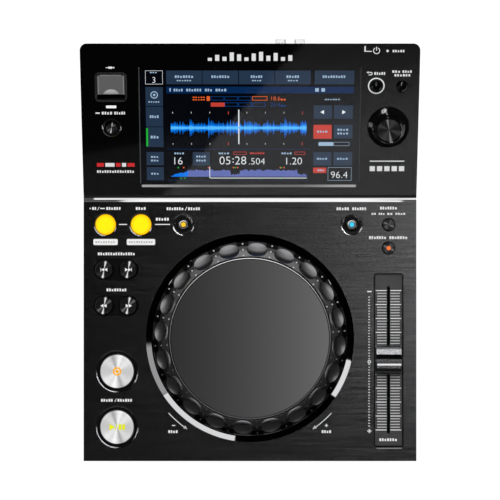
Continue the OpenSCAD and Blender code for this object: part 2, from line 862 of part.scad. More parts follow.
module usb_b_socket() {
    shell = 1.6;
    tongue = [5.6, socket_d - 5, 3.2];
    color("#b8bbbe") translate([host_x, inside_y - socket_d, main_top]) {
        difference() {
            translate([-host_w / 2, 0, 0]) cube([host_w, socket_d + 1.5 * panel_t, host_h]);
            translate([shell - host_w / 2, 4, shell])
                cube([host_w - 2 * shell, 2 * socket_d, host_h - 2 * shell]);
        }
        translate([-tongue[0] / 2, 3, (host_h - tongue[2]) / 2]) cube(tongue);
    }
}

module dc_socket() {
    color("#252527") translate([dc_x, inside_y - socket_d, main_top + dc_h / 2]) {
        difference() {
            translate([-dc_w / 2, 0, -dc_h / 2]) cube([dc_w, socket_d, dc_h]);
            translate([0, 3, 0]) rotate([-90, 0, 0]) cylinder(r = dc_bore_r, h = socket_d);
        }
        translate([0, 2, 0]) rotate([-90, 0, 0]) cylinder(r = 1, h = socket_d - 5);
    }
}

// Power button: cap behind the case, flange inside the panel, rod to the switch
module power_button() {
    color("#8a8d91") translate([power_x, inside_y, socket_h]) rotate([-90, 0, 0])
        rotate_extrude() polygon([
            [0, -rod_back], [2, -rod_back], [2, -flange_gap - flange_t],
            [power_r + flange_w, -flange_gap - flange_t], [power_r + flange_w, -flange_gap],
            [power_r, -flange_gap], [power_r, power_out - 0.6], [power_r - 0.6, power_out],
            [0.8 * power_r, power_out], [0.7 * power_r, power_out - 0.3], [0, power_out - 0.3]
        ]);
}

module power_switch() {
    plunger = 2;
    face = inside_y - rod_back - power_press - run_fit - plunger;
    color("#303236") {
        translate([power_x - switch_d / 2, face - switch_d, main_top])
            cube([switch_d, switch_d, socket_h - main_top + 5]);
        translate([power_x, face, socket_h]) rotate([-90, 0, 0])
            cylinder(r = plunger_r, h = plunger);
    }
}

// ---- Jog wheel ----

module jog_well_ring() {
    color("#141416") translate([0, jog_y, 0]) rotate_extrude() polygon([
        [well_in, deck_z - 3.6], [hole_r - 0.15, deck_z - 3.6], [hole_r - 0.15, deck_z],
        [well_out, deck_z], [well_out, deck_h + well_lip], [well_in + well_crest, deck_h + well_rise],
        [well_in + 0.3, deck_h + well_rise], [well_in, deck_h + well_rise - 0.3]
    ]);
}

module jog_platter() {
    step_r = grip_in - trim_gap - 1.3 * web_t;
    rib_h = 4;
    color("#1a1a1c") translate([0, jog_y, 0]) {
        rotate_extrude() polygon([
            [shaft_r + run_fit, hub_low], [hub_r, hub_low], [hub_r, web_top - web_t],
            [step_r, web_top - web_t], [step_r, grip_seat - web_t],
            [jog_r - rim_t, grip_seat - web_t], [jog_r - rim_t, rim_low], [jog_r, rim_low],
            [jog_r, grip_seat], [grip_in - trim_gap, grip_seat], [grip_in - trim_gap, web_top],
            [shaft_r + run_fit, web_top]
        ]);
        for (a = [0 : 30 : 330]) rotate([0, 0, a])
            translate([hub_r - 0.5, -rib_t / 2, web_top - web_t - rib_h])
                cube([step_r - hub_r + 1, rib_t, rib_h + 0.5]);
    }
}

// Lens-shaped cutter: a barrel turned about a line that lies over the ring,
// round the wheel it is long and across the ring it is short
module dimple_cutter() {
    belly = (dimple_l / 2) * (dimple_l / 2) / (2 * dimple_d);
    arc = (dimple_w / 2) * (dimple_w / 2) / (2 * dimple_d);
    translate([0, 0, belly - dimple_d]) rotate([0, 90, 0]) rotate_extrude()
        intersection() {
            translate([belly - arc, 0]) circle(r = arc);
            translate([0, -arc]) square([2 * belly, 2 * arc]);
        }
}

// Ring of thumb dimples on the outer slope of the wheel, with three pips between them
module jog_grip_ring() {
    pitch = 360 / dimple_count;
    slope_z = grip_edge + (jog_r - dimple_mid) * tan(grip_slope);
    color("#8c8e92") translate([0, jog_y, 0]) {
        difference() {
            rotate_extrude() polygon([
                [grip_in, grip_seat], [jog_r, grip_seat], [jog_r, grip_edge - 0.5],
                [jog_r - 0.5, grip_edge + 0.1], [grip_in + 0.4, grip_top], [grip_in, grip_top - 0.3]
            ]);
            for (i = [0 : dimple_count - 1]) rotate([0, 0, first_dimple - pitch * i])
                translate([dimple_mid, 0, slope_z]) rotate([0, grip_slope, 0]) dimple_cutter();
        }
        for (i = [0 : dimple_count - 1]) rotate([0, 0, first_dimple + pitch / 2 - pitch * i])
            for (r = [-pip_pitch, 0, pip_pitch])
                translate([dimple_mid + r, 0, slope_z - r * tan(grip_slope) - 0.5])
                    cylinder(r = pip_r, h = 0.9);
    }
}

module jog_trim_ring() {
    trim_out = trim_in + trim_w;
    color("#b4b6ba") translate([0, jog_y, 0]) rotate_extrude() polygon([
        [trim_in, web_top], [trim_out, web_top], [trim_out, jog_face],
        [trim_out - 0.2, jog_face + 0.3], [trim_in + 0.2, jog_face + 0.3], [trim_in, jog_face + 0.1]
    ]);
}

module jog_top_plate() {
    color("#3c3d40") translate([0, jog_y, web_top]) rotate_extrude() polygon([
        [0, 0], [jog_plate_r, 0], [jog_plate_r, plate_t - 0.3], [jog_plate_r - 0.3, plate_t],
        [0, plate_t]
    ]);
}

module jog_shaft() {
    color("#c4c6c9") translate([0, jog_y, 0]) {
        translate([0, 0, disc_z - 4]) cylinder(r = shaft_r, h = web_top - 0.2 - disc_z + 4);
        translate([0, 0, disc_z - 5]) cylinder(r = shaft_r - 0.8, h = 1.2);
    }
}

module jog_bearing() {
    color("#b08d57") translate([0, jog_y, frame_z]) rotate_extrude() polygon([
        [shaft_r + run_fit, -frame_t - sleeve_l], [bearing_r, -frame_t - sleeve_l],
        [bearing_r, 0], [bearing_flange_r, 0], [bearing_flange_r, bearing_flange_t],
        [shaft_r + run_fit, bearing_flange_t]
    ]);
}

// Pressed steel spider under the wheel, hung from four posts of the housing
module jog_frame() {
    color("#a2a5a8") translate([0, jog_y, frame_z - frame_t]) difference() {
        union() {
            cylinder(r = frame_r, h = frame_t);
            for (a = [45, 135]) rotate([0, 0, a]) translate([-ear_r, -frame_arm_w / 2, 0])
                cube([2 * ear_r, frame_arm_w, frame_t]);
            for (a = [45 : 90 : 315]) rotate([0, 0, a]) translate([ear_r, 0, 0])
                cylinder(r = post_r, h = frame_t);
        }
        translate([0, 0, -1]) cylinder(r = bearing_r + run_fit, h = frame_t + 2);
        for (a = [45 : 90 : 315]) rotate([0, 0, a]) {
            translate([ear_r, 0, -1]) cylinder(r = screw_r + 0.2, h = frame_t + 2);
            translate([(frame_r + ear_r) / 2, 0, -1]) cylinder(r = frame_arm_w / 4, h = frame_t + 2);
        }
    }
}

module encoder_disc() {
    color("#d8d9da") translate([0, jog_y, disc_z]) difference() {
        union() {
            cylinder(r = encoder_r, h = disc_t);
            translate([0, 0, -disc_hub_drop]) cylinder(r = disc_hub_r, h = disc_hub_h);
        }
        translate([0, 0, -disc_hub_drop - 1]) cylinder(r = shaft_r + run_fit, h = disc_hub_h + 2);
        for (i = [0 : encoder_slots - 1]) rotate([0, 0, i * 360 / encoder_slots])
            translate([encoder_r - slot_in, -disc_slot_w / 2, -1])
                cube([disc_slot_l, disc_slot_w, disc_t + 2]);
    }
}

// Fork sensor that straddles the edge of the disc and hangs from the frame
module encoder_sensor() {
    fork_foot = 3.5;
    color("#1e1e20") translate([0, jog_y, 0]) difference() {
        translate([encoder_r - fork_reach - 1, -fork_w / 2, disc_z - fork_foot])
            cube([2 * fork_reach + 1, fork_w, frame_z - frame_t - disc_z + fork_foot]);
        translate([encoder_r - fork_reach - 3, -fork_w / 2 - 1, disc_z - fork_gap])
            cube([fork_reach + 4, fork_w + 2, disc_t + 2 * fork_gap]);
    }
}

// ---- Boards and switches ----

module deck_boards() {
    top_y = row_y + row_margin;
    right_low = master_at[1] - row_margin + 1.5;
    exit_edge = exit_at[0] + lit_bezel_r + 1;
    color("#1d5a38") {
        translate([0, 0, board_z - board_t]) linear_extrude(height = board_t) difference() {
            union() {
                translate([-board_edge, front_y + wall + 1])
                    square([left_strip_x + board_edge, top_y - front_y - wall - 1]);
                translate([-board_edge, row_y - row_margin + 1])
                    square([exit_edge + board_edge, 2 * row_margin - 1]);
            }
            for (p = left_posts) translate(p) circle(r = screw_r + 0.1);
        }
        translate([0, 0, board_z - board_t]) linear_extrude(height = board_t) difference() {
            translate([vinyl_at[0] - row_margin, right_low])
                square([board_edge - vinyl_at[0] + row_margin, top_y - right_low]);
            for (p = right_posts) translate(p) circle(r = screw_r + 0.1);
        }
        translate([fader_at[0] - body_w / 2 + sheet + 0.4, fader_at[1] - body_l / 2 + sheet + 0.4,
                under_z - body_h + sheet])
            cube([body_w - 2 * sheet - 0.8, body_l - 2 * sheet - 0.8, board_t]);
    }
}

module console_boards() {
    low = -console_under - board_drop - board_t;
    under_usb = -usb_depth - usb_wall - usb_socket_h - board_t;
    color("#1d5a38") on_console() {
        translate([stop_at[0] - board_half, stop_at[1] - board_margin, low])
            cube([2 * board_half, 2 * board_margin, board_t]);
        translate([back_at[0] - board_side, selector_at[1] - board_margin, low])
            cube([2 * menu_half_pitch + board_half, selector_pitch + 2 * board_margin - 4, board_t]);
        translate([usb_at[0] - usb_w / 2, usb_at[1] - board_half, under_usb])
            cube([usb_w, 2 * board_half, board_t]);
    }
}

module tact_switches() {
    color("#2c2e31") {
        for (p = [in_at, out_at, exit_at, vinyl_at, range_at, master_at])
            translate([p[0], p[1], board_z]) tact_switch();
        for (x = search_x, y = [track_y, search_y]) translate([x, y, board_z]) tact_switch();
        for (p = [cue_at, play_at]) translate([p[0], p[1], board_z]) tact_switch();
        on_console() for (p = [stop_at, back_at, tag_at])
            translate([p[0], p[1], -console_under - board_drop]) tact_switch();
    }
}

module search_bezel(y) {
    mid_x = (search_x[0] + search_x[1]) / 2;
    translate([mid_x, y, deck_z]) linear_extrude(height = deck_t - 0.4) difference() {
        stadium(search_pitch, search_bezel_r);
        for (s = [-1, 1]) translate([s * search_pitch / 2, 0]) circle(r = search_cap_r + cap_gap);
    }
}

module button_bezels() {
    color("#515356") {
        for (p = [[in_at, loop_bezel_r, loop_cap_r], [out_at, loop_bezel_r, loop_cap_r],
                [exit_at, lit_bezel_r, lit_cap_r], [vinyl_at, lit_bezel_r, lit_cap_r],
                [cue_at, play_bezel_r, play_cap_r], [play_at, play_bezel_r, play_cap_r]])
            translate([p[0][0], p[0][1], deck_h]) bezel(p[1], p[2] + cap_gap, deck_t);
        on_console() translate([stop_at[0], stop_at[1], 0])
            bezel(lit_bezel_r - 1, lit_cap_r + cap_gap, console_t);
        search_bezel(track_y);
        search_bezel(search_y);
    }
}

module loop_in_button() {
    color("#f7e400") deck_button(in_at, loop_cap_r, press);
}

module loop_out_button() {
    color("#f7e400") deck_button(out_at, loop_cap_r, press);
}

module loop_exit_button() {
    color("#2a2a2c") deck_button(exit_at, lit_cap_r, press);
}

module vinyl_button() {
    color("#2a2a2c") deck_button(vinyl_at, lit_cap_r, press);
}

module tempo_range_button() {
    color("#2a2a2c") deck_button(range_at, tempo_cap_r, press);
}

module master_tempo_button() {
    color("#2a2a2c") deck_button(master_at, tempo_cap_r, press);
}

module track_back_button() {
    color("#3a3b3e") deck_button([search_x[0], track_y], search_cap_r, press);
}

module track_next_button() {
    color("#3a3b3e") deck_button([search_x[1], track_y], search_cap_r, press);
}

module search_back_button() {
    color("#3a3b3e") deck_button([search_x[0], search_y], search_cap_r, press);
}

module search_forward_button() {
    color("#3a3b3e") deck_button([search_x[1], search_y], search_cap_r, press);
}

module cue_button() {
    color("#d6d8da") deck_button(cue_at, play_cap_r, play_press);
}

module play_button() {
    color("#d6d8da") deck_button(play_at, play_cap_r, play_press);
}

module usb_stop_button() {
    color("#2a2a2c") on_console() translate([stop_at[0], stop_at[1], 0])
        turned_button(lit_cap_r, cap_rise, press, console_under, 0.4);
}

module back_button() {
    color("#0c0c0d") domed_button(back_at);
}

module tag_button() {
    color("#0c0c0d") domed_button(tag_at);
}

// ---- Selector ----

module at_selector() {
    on_console() translate([selector_at[0], selector_at[1], 0]) children();
}

module selector_knob() {
    bore_top = knob_h - 3;
    color("#151517") at_selector() rotate_extrude() polygon([
        [selector_shaft_r + run_fit, knob_float], [knob_skirt_r - 0.4, knob_float],
        [knob_skirt_r, knob_float + 0.4], [knob_skirt_r - 0.5, knob_float + 1.2],
        [knob_r + 1, knob_float + 2.2], [knob_r, knob_float + 3.2], [knob_r - 0.8, knob_h - 1],
        [knob_r - 1.6, knob_h], [knob_r - 2.4, knob_h - 0.4], [0, knob_h - 0.4],
        [0, bore_top], [selector_shaft_r + run_fit, bore_top]
    ]);
}

module selector_shaft() {
    color("#c4c6c9") at_selector() translate([0, 0, -encoder_low + 1.2])
        cylinder(r = selector_shaft_r, h = encoder_low - 1.2 + knob_h - 3.3);
}

module selector_rotor() {
    color("#dedede") at_selector() translate([0, 0, -encoder_low + 1.4]) difference() {
        cylinder(r = rotor_r, h = 2.6);
        translate([0, 0, -1]) cylinder(r = selector_shaft_r + run_fit, h = 6);
    }
}

module selector_encoder() {
    color("#4a4c50") at_selector() difference() {
        union() {
            translate([-encoder_w / 2, -encoder_w / 2, -encoder_low])
                cube([encoder_w, encoder_w, encoder_h]);
            translate([0, 0, -encoder_low + encoder_h]) cylinder(r = bush_r, h = encoder_low - encoder_h);
        }
        translate([0, 0, -encoder_low + 0.6]) cylinder(r = rotor_r + 0.3, h = 3.7);
        translate([0, 0, -encoder_low + 3]) cylinder(r = selector_shaft_r + run_fit, h = encoder_low);
    }
}

// ---- USB port ----

module at_usb() {
    on_console() translate([usb_at[0], usb_at[1], 0]) children();
}

// Moulded cup with a rim, hinge cheeks and a slot for the socket in its floor
module usb_frame() {
    cup_w = usb_w - 2 * usb_lip;
    color("#1c1c1e") at_usb() difference() {
        union() {
            translate([0, 0, -console_t]) linear_extrude(height = console_t + 0.3)
                round_rect(usb_w, usb_l, usb_corner);
            translate([0, 0, -usb_depth - usb_wall])
                linear_extrude(height = usb_depth + usb_wall - console_t + 0.2)
                    round_rect(cup_w, usb_l - 2 * usb_lip, usb_corner - usb_lip);
            for (x = [-1, 1])
                translate([x * (cup_w / 2 - 1.6), 0, -usb_depth - usb_wall - usb_socket_h])
                    cylinder(r = 1.5, h = usb_socket_h + 1);
        }
        translate([0, 0, -usb_depth]) linear_extrude(height = usb_depth + 2)
            round_rect(well_w, well_l, well_corner);
        translate([-well_w / 2 - 0.5, hinge_s, hinge_n]) rotate([0, 90, 0])
            cylinder(r = lid_pin_r + run_fit, h = well_w + 1);
        translate([0, 0, -usb_depth - usb_wall - 1]) linear_extrude(height = 4)
            square([usb_socket_w - 1, usb_socket_l - 1], center = true);
    }
}

module usb_lid_pin() {
    color("#c4c6c9") at_usb() translate([-well_w / 2 - 0.4, hinge_s, hinge_n]) rotate([0, 90, 0])
        cylinder(r = lid_pin_r, h = well_w + 0.8);
}

module usb_lid() {
    tab_r = 7;
    color("#7d8084") at_usb() difference() {
        union() {
            translate([-lid_w / 2, hinge_s - lid_l, -lid_low - lid_t])
                cube([lid_w, lid_l, lid_t]);
            translate([2 - lid_w / 2, hinge_s, hinge_n]) rotate([0, 90, 0])
                cylinder(r = hinge_r, h = lid_w - 4);
        }
        translate([-lid_w / 2 - 1, hinge_s, hinge_n]) rotate([0, 90, 0])
            cylinder(r = lid_pin_r + run_fit, h = lid_w + 2);
        translate([0, hinge_s - lid_l - 2.8, -lid_low]) rotate_extrude()
            polygon([[0, -0.6], [tab_r - 0.8, -0.6], [tab_r, 0], [tab_r, 1], [0, 1]]);
    }
}

module usb_socket() {
    color("#c9ccd0") at_usb() translate([0, 0, -usb_depth - usb_wall - usb_socket_h]) {
        difference() {
            translate([-usb_socket_w / 2, -usb_socket_l / 2, 0])
                cube([usb_socket_w, usb_socket_l, usb_socket_h]);
            translate([-usb_socket_w / 2 + 0.7, -usb_socket_l / 2 + 0.9, 2])
                cube([usb_socket_w - 1.4, usb_socket_l - 1.8, usb_socket_h]);
        }
        translate([-5.5, 0.4, 1]) cube([11, 1.9, usb_socket_h - 2]);
    }
}

// ---- Tempo fader ----

module at_fader() {
    translate([fader_at[0], fader_at[1], 0]) children();
}

module fader_plate() {
    color("#131315") at_fader() translate([0, 0, deck_z - tray_t]) linear_extrude(height = tray_t)
        difference() {
            round_rect(recess_w, recess_l, 2);
            square([slot_w, slot_l], center = true);
        }
}

// Folded steel channel with closed ends, slotted along the top
module fader_body() {
    color("#8f9296") at_fader() translate([0, 0, under_z - body_h]) difference() {
        translate([-body_w / 2, -body_l / 2, 0]) cube([body_w, body_l, body_h]);
        translate([-body_w / 2 + sheet, -body_l / 2 + sheet, sheet])
            cube([body_w - 2 * sheet, body_l - 2 * sheet, body_h - 2 * sheet]);
        translate([-slot_w / 2, -slot_l / 2, body_h - 2 * sheet]) cube([slot_w, slot_l, 3 * sheet]);
        for (x = [-rod_x, rod_x]) translate([x, -body_l / 2 - 1, rod_z - under_z + body_h])
            rotate([-90, 0, 0]) cylinder(r = rod_r + run_fit, h = body_l + 2);
    }
}

module fader_rods() {
    color("#d5d7da") at_fader() for (x = [-rod_x, rod_x])
        translate([x, -body_l / 2, rod_z]) rotate([-90, 0, 0]) cylinder(r = rod_r, h = body_l);
}

// Sliding block on both rods, with the lever that reaches up through the slots
module fader_carriage() {
    color("#e2e2e0") at_fader() difference() {
        union() {
            translate([-carriage_w / 2, -carriage_l / 2, rod_z - carriage_h / 2])
                cube([carriage_w, carriage_l, carriage_h]);
            translate([-lever_t / 2, -lever_l / 2, rod_z])
                cube([lever_t, lever_l, deck_z + cap_float + lever_reach - rod_z]);
        }
        for (x = [-rod_x, rod_x]) translate([x, -carriage_l, rod_z])
            rotate([-90, 0, 0]) cylinder(r = rod_r + run_fit, h = 2 * carriage_l);
    }
}

// Cap with a raised grip bar in front of a ramp that leans back
module fader_cap() {
    half = fader_cap_l / 2;
    low = deck_z + cap_float;
    top = deck_z + fader_cap_h;
    valley = top - grip_dip;
    rear_bar = line_at + grip_bar;
    front_bar = line_at - grip_bar;
    color("#3a3c40") at_fader() difference() {
        across(fader_cap_w, [
            [half, low], [half, valley - 0.8], [half - 0.6, valley - 0.1],
            [rear_bar + 7.3, valley], [rear_bar + 3.4, valley + 1.3],
            [rear_bar + 2.5, valley - 0.4], [rear_bar, top], [rear_bar - 0.8, top],
            [line_at + 0.6, top - 0.7], [line_at - 0.6, top - 0.7], [front_bar + 0.8, top],
            [front_bar, top], [front_bar - 1.6, valley - 0.4], [0.6 - half, valley - 0.6],
            [-half, valley - 1.4], [-half, low]
        ]);
        translate([-lever_t / 2 - run_fit, -lever_l / 2 - run_fit, low - 1])
            cube([lever_t + 2 * run_fit, lever_l + 2 * run_fit, lever_reach + 1.2]);
    }
}

housing();
base_plate();
deck_plate();
console_plate();
seam_strip();
rear_panel();
feet();
case_screws();
touch_glass();
display_module();
display_bracket();
main_board();
phono_sockets();
network_socket();
usb_b_socket();
dc_socket();
power_button();
power_switch();
jog_well_ring();
jog_platter();
jog_grip_ring();
jog_top_plate();
jog_trim_ring();
jog_shaft();
jog_bearing();
jog_frame();
encoder_disc();
encoder_sensor();
deck_boards();
console_boards();
tact_switches();
button_bezels();
loop_in_button();
loop_out_button();
loop_exit_button();
vinyl_button();
tempo_range_button();
master_tempo_button();
track_back_button();
track_next_button();
search_back_button();
search_forward_button();
cue_button();
play_button();
usb_stop_button();
back_button();
tag_button();
selector_knob();
selector_shaft();
selector_rotor();
selector_encoder();
usb_lid();
usb_lid_pin();
usb_frame();
usb_socket();
fader_plate();
fader_body();
fader_rods();
fader_carriage();
fader_cap();
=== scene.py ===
"""Tabletop media player: finishes, prints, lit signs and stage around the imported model."""
import json
import math
import random

import bmesh
import bpy
from bpy.props import FloatProperty, FloatVectorProperty, IntProperty, PointerProperty
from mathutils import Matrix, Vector


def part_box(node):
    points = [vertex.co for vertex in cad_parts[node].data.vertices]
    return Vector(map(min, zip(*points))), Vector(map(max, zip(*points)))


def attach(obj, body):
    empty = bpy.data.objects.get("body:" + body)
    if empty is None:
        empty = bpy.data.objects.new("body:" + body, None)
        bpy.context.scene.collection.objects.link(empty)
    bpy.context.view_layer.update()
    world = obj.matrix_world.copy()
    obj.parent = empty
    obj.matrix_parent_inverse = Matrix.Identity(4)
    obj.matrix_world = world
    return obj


bl_info = {
    "name": "Tabletop Player Finishes",
    "version": (1, 0, 0),
    "blender": (4, 5, 0),
    "location": "View3D > Sidebar > Player",
    "description": "Finishes, prints, lit signs and stage of a tabletop media player",
    "category": "Object",
}

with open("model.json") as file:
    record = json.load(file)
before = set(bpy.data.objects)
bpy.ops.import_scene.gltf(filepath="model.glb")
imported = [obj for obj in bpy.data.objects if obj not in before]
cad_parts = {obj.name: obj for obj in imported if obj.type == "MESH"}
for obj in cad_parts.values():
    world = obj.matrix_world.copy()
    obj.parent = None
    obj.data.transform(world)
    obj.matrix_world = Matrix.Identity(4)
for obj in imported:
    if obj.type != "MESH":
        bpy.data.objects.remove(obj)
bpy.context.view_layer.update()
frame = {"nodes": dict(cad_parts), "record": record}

MM = 0.001
SLOPE = math.radians(20)
BODY_OF = {node: body for body, nodes in frame["record"]["behaviour"]["bodies"].items() for node in nodes}
SLOT_OF = {part["node"]: part["material_slot"] for part in frame["record"]["subparts"]}


def middle(node):
    """The middle of a node's box, with the height of its top."""
    low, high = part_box(node)
    return Vector(((low.x + high.x) / 2, (low.y + high.y) / 2, high.z))


def box_centre(node):
    low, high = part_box(node)
    return (low + high) / 2


def display_colour(red, green, blue):
    """A colour given as it shows on a screen, 0 to 255, in the linear values that shaders take."""
    def linear(level):
        share = level / 255
        return share / 12.92 if share <= 0.04045 else ((share + 0.055) / 1.055) ** 2.4
    return (linear(red), linear(green), linear(blue))


# Where the flat faces are --------------------------------------------------------------------

DECK_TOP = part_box("deck_plate")[1].z
JOG = middle("jog_platter")
CONSOLE_LOW, CONSOLE_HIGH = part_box("console_plate")
CONSOLE_FOOT = Vector((0, CONSOLE_LOW.y,
                       CONSOLE_HIGH.z - (CONSOLE_HIGH.y - CONSOLE_LOW.y) * math.tan(SLOPE)))
ACROSS = Vector((1, 0, 0))
REARWARD = Vector((0, 1, 0))
UP_SLOPE = Vector((0, math.cos(SLOPE), math.sin(SLOPE)))
OUT_OF_SLOPE = Vector((0, -math.sin(SLOPE), math.cos(SLOPE)))


def on_level(top):
    """Places (x, y, up) in millimetres on a level face at the height top."""
    return lambda x, y, up: Vector((x * MM, y * MM, top + up * MM))


def on_slope(x, along, up):
    """Places (x, along, up) in millimetres on the console, from the foot of its slope."""
    return CONSOLE_FOOT + ACROSS * (x * MM) + UP_SLOPE * (along * MM) + OUT_OF_SLOPE * (up * MM)


def slope_place(node):
    """Where the middle of a node lies on the console: (x, along) in millimetres."""
    offset = box_centre(node) - CONSOLE_FOOT
    return offset.x / MM, offset.dot(UP_SLOPE) / MM


def deck_place(node):
    """Where the middle of a node lies on the deck: (x, y) in millimetres."""
    spot = middle(node)
    return spot.x / MM, spot.y / MM


# Sizes and colours that a user would change --------------------------------------------------

def length(name, default, text):
    return FloatProperty(name=name, description=text, default=default, min=0, unit="LENGTH", precision=5)


def colour(name, default, text):
    return FloatVectorProperty(name=name, description=text, default=default, size=3, min=0, max=1,
                               subtype="COLOR")


class PlayerSizes(bpy.types.PropertyGroup):
    """Sizes of the prints and of the lit picture."""
    print_rise: length("Print rise", 0.00005, "How far a print stands above its face")
    print_line: length("Print line", 0.0005, "Width of a thin printed line")
    glass_drop: length("Glass drop", 0.0003, "How far the glass lies below the console face")
    picture_step: length("Picture step", 0.00003, "Height of one layer of the lit picture")
    scale_pitch: length("Scale pitch", 0.00203, "Distance between two lines of the tempo scale")
    scale_line: length("Scale line", 0.0006, "Width of a line of the tempo scale")
    wave_bars: IntProperty(name="Wave bars", description="Steps in the lit wave", default=190, min=20)
    brush_depth: FloatProperty(name="Brush depth", description="How strongly the brushed deck streaks",
                               default=0.04, min=0, max=1)
    spin_depth: FloatProperty(name="Spin depth", description="How strongly turned faces spread light",
                              default=0.24, min=0, max=1)


class PlayerColours(bpy.types.PropertyGroup):
    """Colours of the finishes, the prints and the lit signs."""
    print_white: colour("Print", (0.85, 0.85, 0.85), "Printed marks")
    deck: colour("Deck", (0.096, 0.096, 0.098), "Brushed deck plate")
    gloss: colour("Gloss", (0.0012, 0.0012, 0.0014), "Polished black faces")
    grip: colour("Grip", (0.46, 0.46, 0.47), "Dimpled grip ring")
    plate: colour("Plate", (0.33, 0.33, 0.335), "Top plate of the jog wheel")
    loop_light: colour("Loop light", display_colour(255, 238, 0), "Lit loop buttons")
    cue_light: colour("Cue light", display_colour(255, 172, 20), "Lit mark of the cue button")
    play_light: colour("Play light", display_colour(222, 224, 10), "Lit mark of the play button")
    exit_light: colour("Exit light", display_colour(255, 196, 40), "Lit dot of the loop exit button")
    vinyl_light: colour("Vinyl light", display_colour(60, 200, 240), "Lit dot of the vinyl button")
    tempo_light: colour("Tempo light", display_colour(250, 110, 30), "Lit dot of the master tempo button")
    tile: colour("Tile", display_colour(34, 50, 70), "Tiles of the picture")
    title: colour("Title", display_colour(4, 36, 76), "Title bar of the picture")
    wave: colour("Wave", display_colour(0, 110, 220), "Wave of the picture")
    wave_core: colour("Wave core", display_colour(80, 180, 245), "Bright core of the wave")
    overview: colour("Overview", display_colour(88, 100, 165), "Overview strip of the picture")
    alert: colour("Alert", display_colour(185, 60, 50), "Red tiles of the picture")
    ready: colour("Ready", display_colour(30, 170, 50), "Green marks of the picture")
    beat: colour("Beat", display_colour(226, 96, 40), "Orange marks of the picture")


class PlayerStage(bpy.types.PropertyGroup):
    """Camera, floor and lights."""
    camera_height: length("Camera height", 1.67, "Height of the camera above the floor")
    camera_y: FloatProperty(name="Camera offset", description="Camera place along the depth",
                            default=-0.0015, unit="LENGTH", precision=5)
    lens: FloatProperty(name="Lens", description="Focal length in millimetres", default=158.4, min=10)
    floor_share: FloatProperty(name="Floor share", default=0.16, min=0, max=1,
                               description="Share of the floor's white that takes shadow")
    fill: FloatProperty(name="Fill", description="Level of the light from all around", default=0.5, min=0)
    lamp_power: FloatProperty(name="Lamp power", description="Power of each soft lamp in watts",
                              default=22, min=0)


# Shader expressions --------------------------------------------------------------------------

class Value:
    """A socket of a paint's node tree that can be used in sums."""

    def __init__(self, paint, socket):
        self.paint = paint
        self.socket = socket

    def sum(self, operation, *terms):
        return self.paint.node("ShaderNodeMath", {"operation": operation}, dict(enumerate(terms)))

    def __gt__(self, other):
        return self.sum("GREATER_THAN", self, other)

    def __lt__(self, other):
        return self.sum("LESS_THAN", self, other)

    def __abs__(self):
        return self.sum("ABSOLUTE", self)

    def sine(self):
        return self.sum("SINE", self)

    def least(self, other):
        return self.sum("MINIMUM", self, other)

    def most(self, other):
        return self.sum("MAXIMUM", self, other)

    def clamped(self):
        return self.paint.node("ShaderNodeClamp", {}, {0: self})

    def step(self, start, end):
        """0 before start, 1 after end and a smooth rise between; it falls where end is below start."""
        low, high = min(start, end), max(start, end)
        rise = self.paint.node("ShaderNodeMapRange", {"interpolation_type": "SMOOTHSTEP"},
                               {0: self, 1: low, 2: high, 3: 0.0, 4: 1.0})
        return rise if end > start else 1 - rise

    def scaled(self, factor):
        """This vector times one number or value."""
        return self.paint.node("ShaderNodeVectorMath", {"operation": "SCALE"}, {0: self, 3: factor})

    def vector(self, operation, other=None, output=0):
        terms = {0: self} if other is None else {0: self, 1: plain(other)}
        return self.paint.node("ShaderNodeVectorMath", {"operation": operation}, terms, output)

    def dot(self, direction):
        """How far this vector reaches along a direction."""
        return self.vector("DOT_PRODUCT", direction, "Value")


def plain(vector):
    return vector if isinstance(vector, Value) else tuple(vector)


def give_operator(sign, operation):
    """Lets a value stand on either side of one of Python's signs."""
    setattr(Value, f"__{sign}__", lambda self, other: self.sum(operation, self, other))
    setattr(Value, f"__r{sign}__", lambda self, other: self.sum(operation, other, self))


for sign, operation in (("add", "ADD"), ("sub", "SUBTRACT"), ("mul", "MULTIPLY"), ("truediv", "DIVIDE"),
                        ("pow", "POWER")):
    give_operator(sign, operation)


def azimuth(x, y):
    """The turn of a place, in radians clockwise from the rear."""
    return x.sum("ARCTAN2", x, y)


def distance(x, y):
    return (x * x + y * y) ** 0.5


